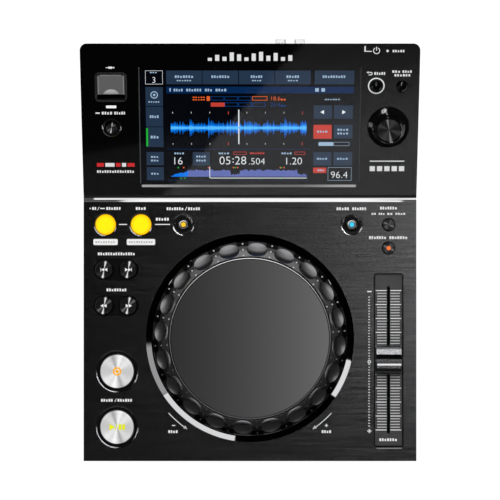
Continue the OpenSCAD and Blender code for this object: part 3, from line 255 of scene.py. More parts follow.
class Paint:
    """A procedural material and the calls that build it."""

    def __init__(self, name, base, **shader_values):
        self.material = bpy.data.materials.new(name)
        self.material.use_nodes = True
        self.tree = self.material.node_tree
        self.tree.nodes.clear()
        self.output = self.tree.nodes.new("ShaderNodeOutputMaterial")
        self.shader = self.tree.nodes.new("ShaderNodeBsdfPrincipled")
        self.tree.links.new(self.shader.outputs[0], self.output.inputs["Surface"])
        self.set("Base Color", (*base, 1))
        for socket, value in shader_values.items():
            self.set(socket.replace("_", " ").title().replace("Ior", "IOR"), value)

    def set(self, socket, value):
        """A value that is the same all over goes on the shader's own socket."""
        self.shader.inputs[socket].default_value = value

    def feed(self, socket, value):
        """A value that varies over the surface is linked."""
        self.tree.links.new(value.socket, self.shader.inputs[socket])

    def node(self, kind, settings, inputs, output=0):
        """Adds a node: its settings first, then the values or links of its sockets."""
        made = self.tree.nodes.new(kind)
        for name, value in settings.items():
            setattr(made, name, value)
        for socket, value in inputs.items():
            if isinstance(value, Value):
                self.tree.links.new(value.socket, made.inputs[socket])
            else:
                made.inputs[socket].default_value = value
        return Value(self, made.outputs[output])

    def place(self):
        """The place on the piece, in metres, in the model's own frame."""
        return self.node("ShaderNodeTexCoord", {}, {}, "Object")

    def place_from(self, centre):
        return self.place().vector("SUBTRACT", centre)

    def facing(self):
        """The surface's own direction before any tilt."""
        return self.node("ShaderNodeNewGeometry", {}, {}, "Normal")

    def parts(self, vector):
        made = self.tree.nodes.new("ShaderNodeSeparateXYZ")
        self.tree.links.new(vector.socket, made.inputs[0])
        return [Value(self, socket) for socket in made.outputs]

    def noise(self, per_metre, detail=2.0, roughness=0.5):
        """Noise with the given number of patches per metre along x, y and z, about 0.5 in the middle."""
        where = self.place().vector("MULTIPLY", per_metre)
        return self.node("ShaderNodeTexNoise", {"noise_dimensions": "3D"},
                         {"Vector": where, "Scale": 1.0, "Detail": detail, "Roughness": roughness})

    def even_noise(self, per_metre, detail=2.0):
        return self.noise((per_metre,) * 3, detail)

    def cells(self, per_metre, output="Distance"):
        where = self.place().vector("MULTIPLY", (per_metre,) * 3)
        return self.node("ShaderNodeTexVoronoi", {}, {"Vector": where, "Scale": 1.0}, output)

    def flake(self, per_metre):
        """A level of its own, from 0 to 1, for each flake."""
        return self.parts(self.cells(per_metre, "Color"))[0]

    def line_noise(self, value, detail=2.0):
        """Noise that varies with one value alone."""
        return self.node("ShaderNodeTexNoise", {"noise_dimensions": "1D"},
                         {"W": value, "Scale": 1.0, "Detail": detail, "Roughness": 0.6})

    def mix(self, share, first, second):
        """A colour between two, by the share of the second."""
        inputs = {0: share, 6: self.four(first), 7: self.four(second)}
        return self.node("ShaderNodeMix", {"data_type": "RGBA"}, inputs, 2)

    @staticmethod
    def four(tint):
        return tint if isinstance(tint, Value) else (*tint, 1)

    def shaded(self, tint, spread, pattern):
        """A colour made darker and lighter by up to spread as the pattern goes from 0 to 1."""
        darker, lighter = [c * (1 - spread) for c in tint], [min(1, c * (1 + spread)) for c in tint]
        return self.mix(pattern, darker, lighter)

    def uneven(self, tint, spread, pattern, low, span):
        """Colour and roughness that follow one pattern; the roughness rises from low by span."""
        self.feed("Base Color", self.shaded(tint, spread, pattern))
        self.feed("Roughness", low + pattern * span)

    def bump(self, height, depth, strength):
        """Relief on the surface: depth in metres for a height from 0 to 1."""
        self.feed("Normal", self.node("ShaderNodeBump", {}, {"Strength": strength, "Distance": depth,
                                                             "Height": height}))

    def tilt(self, direction, amount):
        """Tips the surface's direction by amount, as fine grooves do."""
        turned = self.node("ShaderNodeVectorTransform",
                           {"vector_type": "VECTOR", "convert_from": "OBJECT", "convert_to": "WORLD"},
                           {0: direction})
        leaning = self.facing().vector("ADD", turned.scaled(amount))
        self.feed("Normal", leaning.vector("NORMALIZE"))


# Finishes, by the record's material slots ----------------------------------------------------

def moulded(name, tint, roughness, grain_per_metre=2600, grain_depth=0.00002):
    """Moulded plastic: a fine even grain, with faint wear in its gloss."""
    paint = Paint(name, tint, roughness=roughness)
    grain = paint.even_noise(grain_per_metre)
    wear = paint.even_noise(45, 3)
    paint.uneven(tint, 0.18, wear, roughness - 0.06, 0.12)
    paint.bump(grain, grain_depth, 0.6)
    return paint


def lid_grey():
    """Grey lid: a paler border, and a finger scoop at its free end with a painted highlight that grows away
    from that end.
    """
    paint = moulded("lid_grey", (0.125, 0.126, 0.13), 0.34, 3000, 0.00001)
    x, along = slope_place("usb_lid")
    low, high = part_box("usb_lid")
    half, reach = (high.x - low.x) / 2 / MM, (high.y - low.y) / 2 / MM / math.cos(SLOPE)
    offset = paint.place_from(CONSOLE_FOOT).scaled(1 / MM)
    across, up = offset.dot(ACROSS) - x, offset.dot(UP_SLOPE) - along
    edge = (abs(across).step(half - 1.3, half - 0.7) + up.step(reach - 1.5, reach - 0.9)).clamped()
    depth = (up + reach) / 4.2
    scoop = (across * across / 34 + depth * depth).step(1.05, 0.95)
    grain = paint.even_noise(3000) * 0.02
    # Painted highlight: the scoop is paler the farther it reaches from the free end.
    paint.feed("Base Color", 0.115 + grain + edge * 0.11 + scoop * (0.12 + depth.clamped() * 0.42))
    return paint


def steel_plate():
    """Satin powder coat: a soft orange-peel relief."""
    paint = Paint("steel_plate", (0.03, 0.03, 0.032), roughness=0.42)
    peel = paint.even_noise(900)
    paint.feed("Base Color", paint.shaded((0.03, 0.03, 0.032), 0.2, paint.even_noise(60)))
    paint.feed("Roughness", 0.36 + peel * 0.14)
    paint.bump(peel, 0.00006, 0.5)
    return paint


def sheet_steel():
    """Bare zinc-coated sheet, with its frosted flakes."""
    paint = Paint("sheet_steel", (0.5, 0.51, 0.52), metallic=1.0, roughness=0.38)
    patch = paint.flake(260)
    paint.uneven((0.48, 0.49, 0.5), 0.16, patch, 0.3, 0.16)
    paint.bump(paint.even_noise(1800), 0.00001, 0.4)
    return paint


def plated(name, tint, roughness):
    """Plated or ground metal: short scratches in one direction."""
    paint = Paint(name, tint, metallic=1.0, roughness=roughness)
    scratch = paint.noise((300, 2600, 2600), 3)
    paint.uneven(tint, 0.12, scratch, roughness - 0.05, 0.1)
    paint.bump(scratch, 0.000008, 0.5)
    return paint


def polished_trim():
    """Polished strip with drawn lines along it: a dark ledge behind, and two bevels painted bright as a
    painted reflection, with painted dark reflection at their ends and along a line in the middle.
    """
    paint = Paint("polished_trim", (0.9, 0.9, 0.9), metallic=0.2, roughness=0.2)
    low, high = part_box("seam_strip")
    x, y, _ = paint.parts(paint.place().scaled(1 / MM))
    depth = (high.y - low.y) / MM
    part = (y - low.y / MM) / depth
    drawn = paint.noise((30, 3000, 3000))
    rear, front = part.step(0.26, 0.3), part.step(0.3, 0.26)
    ends = rear * x.step(-112.5, -114.5) + front * (x.step(-88, -98) + x.step(108, 113))
    line = abs(part - 0.28).step(0.07, 0.03) * abs(x - 4).step(76, 104)
    ledge = part.step(0.56, 0.62)
    # Painted reflection: the bevels' near-white tone, their dark ends and the dark middle line stand in for
    # what they mirror.
    tone = 0.97 - ends * 0.86 - line * 0.8 - drawn * 0.05
    tone = (tone * (1 - ledge) + ledge * (0.012 + drawn * 0.02)).clamped()
    paint.feed("Base Color", tone)
    paint.feed("Roughness", 0.16 + drawn * 0.1)
    return paint


def trim_line():
    """Thin bright ring round the top plate, turned on a lathe."""
    paint = Paint("trim_line", (0.8, 0.8, 0.8), metallic=1.0, roughness=0.2)
    radius, _ = around(paint, JOG)
    lathe = paint.line_noise(radius * 6000)
    paint.uneven((0.8, 0.8, 0.8), 0.15, lathe, 0.14, 0.14)
    return paint


def board_green():
    """Circuit board: solder mask over copper tracks, with tinned dots."""
    paint = Paint("board_green", (0.006, 0.03, 0.014), roughness=0.35)
    tracks = paint.parts(paint.place().scaled(420))[0]
    weave = abs((tracks + paint.even_noise(60) * 6).sine()) > 0.86
    dots = paint.cells(300) < 0.16
    copper = paint.mix(weave, (0.004, 0.026, 0.011), (0.012, 0.06, 0.024))
    paint.feed("Base Color", paint.mix(dots, copper, (0.6, 0.6, 0.58)))
    paint.feed("Metallic", dots * 0.9)
    paint.feed("Roughness", 0.3 + weave * 0.12)
    return paint


def brushed_black():
    """Black anodised deck: short fine streaks of brushing run along the width."""
    sizes, tints = bpy.context.scene.player_sizes, bpy.context.scene.player_colours
    paint = Paint("brushed_black", tints.deck, metallic=1.0, roughness=0.2)
    long_streak = paint.noise((20, 800, 800), 2, 0.6)
    fine_streak = paint.noise((80, 2000, 2000), 2, 0.6)
    streak = long_streak * 0.6 + fine_streak * 0.4
    paint.feed("Base Color", paint.shaded(tints.deck, 0.34, streak.step(0.3, 0.7)))
    paint.feed("Roughness", 0.17 + streak * 0.08)
    paint.tilt((0, 1, 0), (streak - 0.5) * sizes.brush_depth * 2)
    return paint


def polished_black(name, tint, roughness):
    """Polished black plastic: hairlines and the faint haze of handling."""
    tint = tint or bpy.context.scene.player_colours.gloss
    paint = Paint(name, tint, roughness=roughness)
    haze = paint.even_noise(25, 4)
    hairline = paint.noise((500, 60, 60), 3)
    paint.feed("Base Color", paint.shaded(tint, 0.25, haze))
    paint.feed("Roughness", roughness + haze.step(0.45, 0.8) * 0.04 + hairline.step(0.66, 0.74) * 0.03)
    return paint


def satin_black():
    """Satin lacquer of the fader plate, with a fine spray texture and painted shade of the gap round it, a
    dark band along its edge.
    """
    tint = (0.085, 0.085, 0.088)
    paint = Paint("satin_black", tint, metallic=0.5, roughness=0.4)
    spray = paint.even_noise(2200)
    low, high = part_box("fader_plate")
    x, y, _ = paint.parts(paint.place_from((low + high) / 2))
    inside_x, inside_y = abs(x) - (high.x - low.x) / 2, abs(y) - (high.y - low.y) / 2
    # Painted shade: a near-black band along the plate's edge stands in for the shadow in the gap.
    gap = inside_x.most(inside_y).step(-0.0011, -0.0008)
    full = paint.shaded(tint, 0.14, spray)
    paint.feed("Base Color", paint.mix(gap, full, (0.002, 0.002, 0.002)))
    paint.feed("Roughness", 0.36 + spray * 0.1)
    return paint


def cap_lacquer():
    """Metallic lacquer of the fader cap, with its flake; painted shade darkens its steep faces and its front
    beyond the groove.
    """
    tint = (0.21, 0.212, 0.218)
    paint = Paint("cap_lacquer", tint, metallic=0.9, roughness=0.24)
    flake = paint.flake(4800)
    # Painted shade: the steep faces, and the level faces in front of the groove, are darkened.
    painted_light_share = paint.parts(paint.facing())[2].step(0.55, 0.9)
    groove = middle("fader_cap").y - 0.001
    front = paint.parts(paint.place())[1].step(groove, groove - 0.001)
    full = paint.shaded(tint, 0.1, flake)
    paint.feed("Base Color", paint.mix(painted_light_share * (1 - front * 0.86), (0.02, 0.02, 0.021), full))
    paint.feed("Roughness", 0.2 + flake * 0.1)
    return paint


def bezel_dark():
    """Dark turned bezels round the buttons; those round the loop exit and vinyl buttons get a lighter tint,
    a painted highlight that brightens their reflections.
    """
    paint = Paint("bezel_dark", (0.07, 0.07, 0.072), metallic=0.9, roughness=0.16)
    turned = paint.even_noise(1400, 3)
    left, _ = around(paint, middle("loop_exit_button"))
    right, _ = around(paint, middle("vinyl_button"))
    # Painted highlight: the two bezels round the loop exit and vinyl buttons are tinted lighter.
    painted_light_share = left.least(right).step(0.012, 0.011)
    dull = paint.shaded((0.05, 0.05, 0.052), 0.3, turned)
    paint.feed("Base Color", paint.mix(painted_light_share, dull, (0.1, 0.1, 0.102)))
    paint.feed("Roughness", 0.12 + turned * 0.1)
    return paint


DIMPLE_COUNT = 20
FIRST_DIMPLE = math.radians(4.5)


def jog_silver():
    """Satin metal lacquer of the dimpled grip ring, with its fine flake, painted shade on its outer lands
    and rim where they face outward, and its pips.
    """
    tint = bpy.context.scene.player_colours.grip
    paint = Paint("jog_silver", tint, metallic=1.0, roughness=0.3)
    glint = paint.flake(5200)
    rubbed = paint.even_noise(70, 3)
    radius, away = around(paint, JOG)
    facing = paint.facing()
    outward = facing.dot(away).step(0.12, 0.22)
    x, y, _ = paint.parts(paint.place_from(JOG))
    wave = ((azimuth(x, y) - FIRST_DIMPLE) * DIMPLE_COUNT + math.pi / 2).sine()
    between_dimples, between_middle = wave.step(-0.2, -0.5), wave.step(-0.8, -0.95)
    outer_land, rim = radius.step(0.0630, 0.0648), radius.step(0.0664, 0.068)
    # Painted shade: the outer lands between the dimples, and the rim, are darkened where they face outward.
    shade = ((outer_land * 0.66 * between_dimples + rim * 0.8) * outward).clamped()
    pip = between_middle * paint.parts(facing)[2].step(0.993, 0.998)
    flaked = paint.shaded(tint, 0.12, glint * 0.5 + rubbed * 0.5)
    lacquer = paint.mix(1 - shade, (0.02, 0.02, 0.02), flaked)
    paint.feed("Base Color", paint.mix(pip, lacquer, (0.8, 0.8, 0.8)))
    paint.feed("Roughness", 0.24 + rubbed * 0.14)
    paint.bump(paint.even_noise(2600), 0.000012, 0.5)
    return paint


def jog_top():
    """Fine matte top plate of the wheel: very fine rings from the lathe under a bead-blast grain."""
    tint = bpy.context.scene.player_colours.plate
    paint = Paint("jog_top", tint, metallic=1.0, roughness=0.36)
    radius, away = around(paint, JOG)
    rings = paint.line_noise(radius * 3500)
    grain = paint.even_noise(3000)
    paint.feed("Base Color", paint.shaded(tint, 0.14, grain * 0.6 + rings * 0.4))
    paint.feed("Roughness", 0.32 + grain * 0.1)
    paint.tilt(away, (rings - 0.5) * 0.05)
    return paint


def lit_yellow():
    """Lit cap: brightest in the middle, where the lamp stands behind it, and warmer at its rim."""
    tint = bpy.context.scene.player_colours.loop_light
    paint = Paint("lit_yellow", tint, roughness=0.25, emission_strength=1.0)
    left, _ = around(paint, middle("loop_in_button"))
    right, _ = around(paint, middle("loop_out_button"))
    radius = left.least(right) / MM
    cloud = paint.even_noise(500, 3)
    core = paint.shaded([c * 0.82 for c in tint], 0.05, cloud)
    paint.feed("Base Color", paint.shaded([c * 0.25 for c in tint], 0.1, cloud))
    paint.feed("Emission Color", paint.mix(radius.step(4.0, 7.6), core, display_colour(248, 180, 0)))
    return paint


def around(paint, centre, second=REARWARD):
    """Distance from a turned part's axis in metres, and the direction away from that axis."""
    offset = paint.place_from(centre)

    def reach(direction):
        return paint.node("ShaderNodeVectorMath", {"operation": "SCALE"},
                          {0: tuple(direction), 3: offset.dot(direction)})

    away = reach(ACROSS).vector("ADD", reach(second))
    return away.vector("LENGTH", None, "Value"), away.vector("NORMALIZE")


def turned_rings(paint, radius):
    """The fine rings that a lathe leaves on a spun face."""
    return paint.line_noise(radius * 5200, 1)


def lobe(away, second, turn, power):
    """A wedge of painted highlight across a turned face, at a turn in degrees clockwise from its rear."""
    angle = math.radians(turn)
    return abs(away.dot(ACROSS * math.sin(angle) + second * math.cos(angle))) ** power


def spun(name, level, painted_wedges, metallic, roughness, centre, second):
    """Spun metal: fine rings, wedges of painted highlight (and of painted dark reflection where a share is
    below nought) across the face, and painted shade on its steep faces.
    """
    depth = bpy.context.scene.player_sizes.spin_depth
    paint = Paint(name, (level,) * 3, metallic=metallic, roughness=roughness)
    radius, away = around(paint, centre, second)
    rings = turned_rings(paint, radius)
    shade = level * (0.88 + rings * 0.24)
    for turn, power, share in painted_wedges:
        shade = shade + lobe(away, second, turn, power) * share * (0.85 + rings * 0.3)
    # Painted shade: the steep sides of the cap are darkened.
    unshaded_level_face = paint.facing().dot(ACROSS.cross(second)).step(0.8, 0.95)
    paint.feed("Base Color", (shade * (0.1 + unshaded_level_face * 0.9)).clamped())
    paint.feed("Roughness", roughness - 0.03 + rings * 0.06)
    paint.tilt(away, (rings - 0.5) * depth)
    return paint


# Spun finishes: base level, wedges of painted highlight as (turn, power, share), where a share below nought
# paints dark reflection, then metallic and roughness.
NARROW = (11, 130, 1.1)
SILVER = (0.61, ((11, 50, 0.42), (-17, 90, -0.2), (-44, 18, 0.14), (46, 14, 0.26)), 0.04, 0.3)
DARK = (0.008, ((30, 30, 0.06), (-66, 40, 0.16), (60, 30, 0.05)), 0.3, 0.22)
WEDGE = (0.008, (NARROW, (50, 30, 0.02)), 0.2, 0.2)
TWO_WEDGES = (0.008, (NARROW, (50, 70, 0.16)), 0.2, 0.2)
SPUN = {
    "cue_button": SILVER, "play_button": SILVER,
    "track_back_button": WEDGE, "track_next_button": WEDGE,
    "search_back_button": TWO_WEDGES, "search_forward_button": TWO_WEDGES,
    "usb_stop_button": TWO_WEDGES,
}


def ring_gloss():
    """Mirror-black slope round the wheel, with the faint haze of handling."""
    paint = Paint("ring_gloss", (0.055, 0.055, 0.056), metallic=1.0, roughness=0.04)
    haze = paint.even_noise(25, 4)
    paint.feed("Base Color", paint.shaded((0.055, 0.055, 0.056), 0.06, haze))
    paint.feed("Roughness", 0.03 + haze.step(0.45, 0.8) * 0.03)
    return paint


def knob_gloss():
    """Glossy selector knob with a spun face on top, whose wedges of sheen are painted highlights."""
    paint = Paint("knob_gloss", (0.002, 0.002, 0.002), roughness=0.06)
    radius, away = around(paint, box_centre("selector_knob"), UP_SLOPE)
    rings = turned_rings(paint, radius)
    face = radius.step(0.0089, 0.0085) * paint.facing().dot(OUT_OF_SLOPE).step(0.97, 0.99)
    painted_shine = 0.006 + rings * 0.008
    # Painted highlight: wedges of sheen on the spun face.
    for turn, power, share in ((-10, 160, 0.22), (28, 9, 0.035), (-68, 40, 0.035)):
        painted_shine = painted_shine + lobe(away, UP_SLOPE, turn, power) * share
    paint.feed("Base Color", 0.002 + face * painted_shine)
    paint.feed("Roughness", 0.05 + face * 0.2 + rings * 0.02)
    return paint


def spun_for(node):
    """The spun finish of one cap, centred on it."""
    second = UP_SLOPE if middle(node).y > CONSOLE_FOOT.y else REARWARD
    return spun(f"{SLOT_OF[node]}_{node}", *SPUN.get(node, DARK), box_centre(node), second)


SHARED_FINISHES = {
    "moulded_black": (moulded, (0.014, 0.014, 0.015), 0.42),
    "part_black": (moulded, (0.012, 0.012, 0.013), 0.32, 3200, 0.00001),
    "white_plastic": (moulded, (0.72, 0.72, 0.70), 0.4),
    "rubber": (moulded, (0.018, 0.018, 0.018), 0.8, 1500, 0.00008),
    "screw_steel": (plated, (0.42, 0.42, 0.43), 0.3),
    "socket_metal": (plated, (0.66, 0.66, 0.67), 0.22),
    "shaft_steel": (plated, (0.6, 0.6, 0.62), 0.22),
    "bronze": (plated, (0.5, 0.32, 0.14), 0.4),
    "console_gloss": (polished_black, None, 0.03),
    "gloss_black": (polished_black, None, 0.07),
    "touch_glass": (polished_black, display_colour(6, 8, 14), 0.02),
}
OWN_FINISHES = {maker.__name__: maker for maker in (
    lid_grey, steel_plate, sheet_steel, polished_trim, trim_line, board_green, brushed_black, satin_black,
    cap_lacquer, bezel_dark, jog_silver, jog_top, lit_yellow)}
made_finishes = {}


def finish(slot):
    """The paint of a slot, made once."""
    if slot not in made_finishes:
        if slot in OWN_FINISHES:
            made_finishes[slot] = OWN_FINISHES[slot]()
        else:
            maker, *values = SHARED_FINISHES[slot]
            made_finishes[slot] = maker(slot, *values)
    return made_finishes[slot]


def coat(node, paint):
    """Gives a solid its finish."""
    slots = frame["nodes"][node].data.materials
    slots.clear()
    slots.append(paint.material)


def coat_all(nodes):
    for node in nodes:
        coat(node, spun_for(node) if SLOT_OF[node].startswith("spun") else finish(SLOT_OF[node]))


# Thin raised shapes --------------------------------------------------------------------------

BLOCK_PITCH = 1.85  # millimetres from one block of a label to the next
SINK = -0.02  # how far a mark reaches into its face, in millimetres
CAP_DROP = 0.00015  # how far the middle of a cap lies below its rim
PLATE_DROP = 0.0015  # how far the fader plate lies below the deck
CORNER_STEPS = 6
FIGURE_TALL = 0.7  # height of a figure, as a share of its letter size
FIGURE_THIN = -0.014  # how far its outline is drawn in, as a share of its letter size
DOTS_PER_METRE = 3300
console_pieces = []


def link_object(name, data):
    made = bpy.data.objects.new(name, data)
    bpy.context.scene.collection.objects.link(made)
    return made


def full_turn(count):
    return [2 * math.pi * i / count for i in range(count)]


def on_circle(x, y, radius, angles):
    """Points on a circle, at angles in radians, counter-clockwise from +x."""
    return [(x + radius * math.cos(a), y + radius * math.sin(a)) for a in angles]


class Marks:
    """Thin closed shapes of one colour on one face: prints, lit signs and the parts of the picture."""

    def __init__(self, place, low, high):
        self.place = place
        self.low = low
        self.high = high
        self.mesh = bmesh.new()

    def corners(self, points, up):
        return [self.mesh.verts.new(self.place(x, y, up)) for x, y in points]

    def outline(self, points):
        """A filled shape from its corners, counter-clockwise."""
        bottom, top = self.corners(points, self.low), self.corners(points, self.high)
        self.mesh.faces.new(top)
        self.mesh.faces.new(bottom[::-1])
        self.walls(bottom, top)

    def walls(self, bottom, top):
        for i in range(len(top)):
            j = (i + 1) % len(top)
            self.mesh.faces.new((bottom[i], bottom[j], top[j], top[i]))

    def box(self, left, low, right, high):
        self.outline([(left, low), (right, low), (right, high), (left, high)])

    def boxes(self, *corners):
        for left, low, right, high in corners:
            self.box(left, low, right, high)

    def words(self, *rows):
        """Rows of plain blocks in place of words, each from left to right at y, with a height."""
        for left, right, y, *height in rows:
            self.word(left, right, y, *height)

    def row(self, y, height, *spans):
        """Words side by side, each from left to right."""
        for left, right in spans:
            self.word(left, right, y, height)

    def word(self, left, right, y, height=2.0):
        count = max(2, round((right - left) / BLOCK_PITCH))
        step = (right - left) / count
        for i in range(count):
            x = left + i * step
            top = height if i % 4 != 2 else height * 0.8
            self.box(x, y - height / 2, x + step * (0.6 if i % 3 else 0.7), y - height / 2 + top)

    def pill(self, left, low, right, high, radius):
        """A box with round corners."""
        points = []
        for x, y, start in ((right - radius, low + radius, -90), (right - radius, high - radius, 0),
                            (left + radius, high - radius, 90), (left + radius, low + radius, 180)):
            angles = [math.radians(start + 90 * i / CORNER_STEPS) for i in range(CORNER_STEPS + 1)]
            points += on_circle(x, y, radius, angles)
        self.outline(points)

    def frame(self, left, low, right, high, line):
        """The border of a box."""
        self.boxes((left, low, right, low + line), (left, high - line, right, high),
                   (left, low + line, left + line, high - line),
                   (right - line, low + line, right, high - line))

    def line(self, start, end, width):
        along = Vector(end) - Vector(start)
        side = Vector((-along.y, along.x)).normalized() * width / 2
        start, end = Vector(start), Vector(end)
        self.outline([start - side, end - side, end + side, start + side])

    def dot(self, x, y, radius, corners=32):
        self.outline(on_circle(x, y, radius, full_turn(corners)))

    def ring(self, x, y, inner, outer, steps=48):
        """A flat ring; its four loops of corners are joined into one closed band."""
        loops = []
        for radius, up in ((outer, self.low), (outer, self.high), (inner, self.high), (inner, self.low)):
            loops.append(self.corners(on_circle(x, y, radius, full_turn(steps)), up))
        for first, second in zip(loops, loops[1:] + loops[:1]):
            self.walls(first, second)

    def arc(self, x, y, radius, width, start, end, steps=16):
        """Part of a ring, from start to end in degrees, counter-clockwise from +x."""
        angles = [math.radians(start + (end - start) * i / steps) for i in range(steps + 1)]
        self.outline(on_circle(x, y, radius + width / 2, angles)
                     + on_circle(x, y, radius - width / 2, angles[::-1]))

    def triangle(self, x, y, size, turn):
        """A triangle that points along turn, in degrees from +x."""
        self.outline(on_circle(x, y, size, [math.radians(turn + corner) for corner in (0, 120, 240)]))

    def triangles(self, places, y, size, turn):
        for x in places:
            self.triangle(x, y, size, turn)

    def number(self, text, left, low, height):
        """Plain figures, with their left foot at (left, low)."""
        curve = bpy.data.curves.new("figures", "FONT")
        curve.body = text
        curve.size = height / FIGURE_TALL
        curve.offset = FIGURE_THIN * curve.size
        curve.extrude = (self.high - self.low) / 2
        curve.resolution_u = 4
        holder = link_object("figures", curve)
        depsgraph = bpy.context.evaluated_depsgraph_get()
        solid = bpy.data.meshes.new_from_object(holder.evaluated_get(depsgraph))
        figures = bmesh.new()
        figures.from_mesh(solid)
        bmesh.ops.remove_doubles(figures, verts=figures.verts, dist=1e-4)
        middle_up = (self.low + self.high) / 2
        for vert in figures.verts:
            vert.co = self.place(left + vert.co.x, low + vert.co.y, middle_up + vert.co.z)
        figures.to_mesh(solid)
        figures.free()
        self.mesh.from_mesh(solid)
        bpy.data.objects.remove(holder)
        bpy.data.curves.remove(curve)
        bpy.data.meshes.remove(solid)

    def piece(self, name, body, slot, paint):
        """Makes the object, rides it on its body and gives it its paint."""
        bmesh.ops.recalc_face_normals(self.mesh, faces=self.mesh.faces[:])
        data = bpy.data.meshes.new(name)
        self.mesh.to_mesh(data)
        self.mesh.free()
        data.materials.append(paint.material)
        made = link_object(name, data)
        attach(made, body)
        if self.place is on_slope:
            console_pieces.append(made)


def print_paint():
    """Screen-printed white: thin, slightly uneven ink."""
    if "print" not in made_finishes:
        tint = bpy.context.scene.player_colours.print_white
        paint = Paint("screen_print", tint, roughness=0.45)
        ink = paint.even_noise(900, 3)
        paint.uneven(tint, 0.1, ink, 0.38, 0.16)
        made_finishes["print"] = paint
    return made_finishes["print"]


def grey_ink(name, level, roughness=0.5):
    return Paint(name, (level,) * 3, roughness=roughness)


def lit_paint(name, tint, strength=1.0):
    """A lit colour behind glass: a fine grid of picture dots under a gloss face."""
    paint = Paint(name, [c * 0.1 for c in tint], roughness=0.05, emission_strength=strength)
    x, y, _ = paint.parts(paint.place().scaled(DOTS_PER_METRE))
    grid = x.sine() * y.sine() * 0.5 + 0.5
    glow = paint.even_noise(18)
    paint.feed("Emission Color", paint.shaded(tint, 0.1, grid * 0.5 + glow * 0.5))
    return paint


def print_rise():
    return bpy.context.scene.player_sizes.print_rise / MM


def on_deck(level=DECK_TOP):
    return Marks(on_level(level), SINK, print_rise())


def on_console(rise=1):
    return Marks(on_slope, SINK, print_rise() * rise)


def on_cap(node, rise=0.06):
    """A mark on a deck button: the cap's middle lies a little below its rim."""
    return Marks(on_level(middle(node).z - CAP_DROP), SINK, rise)


ICON_SIZE = 2.1


def wind_icon(marks, x, y, turn, shifts=(-0.5, 0.6)):
    """Two triangles one after the other; turn is 1 for forward and -1 for back."""
    marks.triangles([x + turn * shift * ICON_SIZE for shift in shifts], y, ICON_SIZE * 0.7,
                    0 if turn > 0 else 180)


def skip_icon(marks, x, y, turn):
    """Two triangles that meet a bar."""
    wind_icon(marks, x, y, turn, (-0.75, 0.35))
    bar, half = x + turn * 1.15 * ICON_SIZE, ICON_SIZE * 0.62
    marks.box(bar - 0.2, y - half, bar + 0.2, y + half)


# Operators -----------------------------------------------------------------------------------

class Step(bpy.types.Operator):
    """One step of the dressing."""
    bl_options = {"REGISTER", "UNDO"}

    def execute(self, context):
        self.build(context)
        return {"FINISHED"}


class PLAYER_OT_case(Step):
    """Finish the case, its plates, feet, screws and bezels"""
    bl_idname = "player.case"
    bl_label = "Finish Case"

    def build(self, context):
        coat_all(("housing", "base_plate", "rear_panel", "deck_plate", "console_plate", "seam_strip",
                  "feet", "case_screws", "touch_glass", "button_bezels", "fader_plate", "usb_frame"))


class PLAYER_OT_wheel(Step):
    """Finish the jog wheel and the ring round it"""
    bl_idname = "player.wheel"
    bl_label = "Finish Jog Wheel"

    def build(self, context):
        coat_all(("jog_platter", "jog_grip_ring", "jog_top_plate", "jog_trim_ring",
                  "jog_shaft", "jog_bearing", "jog_frame"))
        coat("jog_well_ring", ring_gloss())


class PLAYER_OT_controls(Step):
    """Finish the buttons, the selector, the tempo fader and the USB lid"""
    bl_idname = "player.controls"
    bl_label = "Finish Controls"

    def build(self, context):
        moving = [node for node in SLOT_OF if node.endswith("_button")]
        coat_all(moving + ["selector_knob", "selector_shaft", "selector_rotor", "selector_encoder",
                           "fader_cap", "fader_carriage", "fader_rods", "fader_body", "usb_lid",
                           "usb_lid_pin"])
        coat("selector_knob", knob_gloss())


class PLAYER_OT_works(Step):
    """Finish the boards, sockets, display module and other parts inside"""
    bl_idname = "player.works"
    bl_label = "Finish Works"

    def build(self, context):
        coat_all(("display_module", "display_bracket", "main_board", "phono_sockets", "network_socket",
                  "usb_b_socket", "dc_socket", "power_switch", "encoder_disc", "encoder_sensor",
                  "deck_boards", "console_boards", "tact_switches", "usb_socket"))


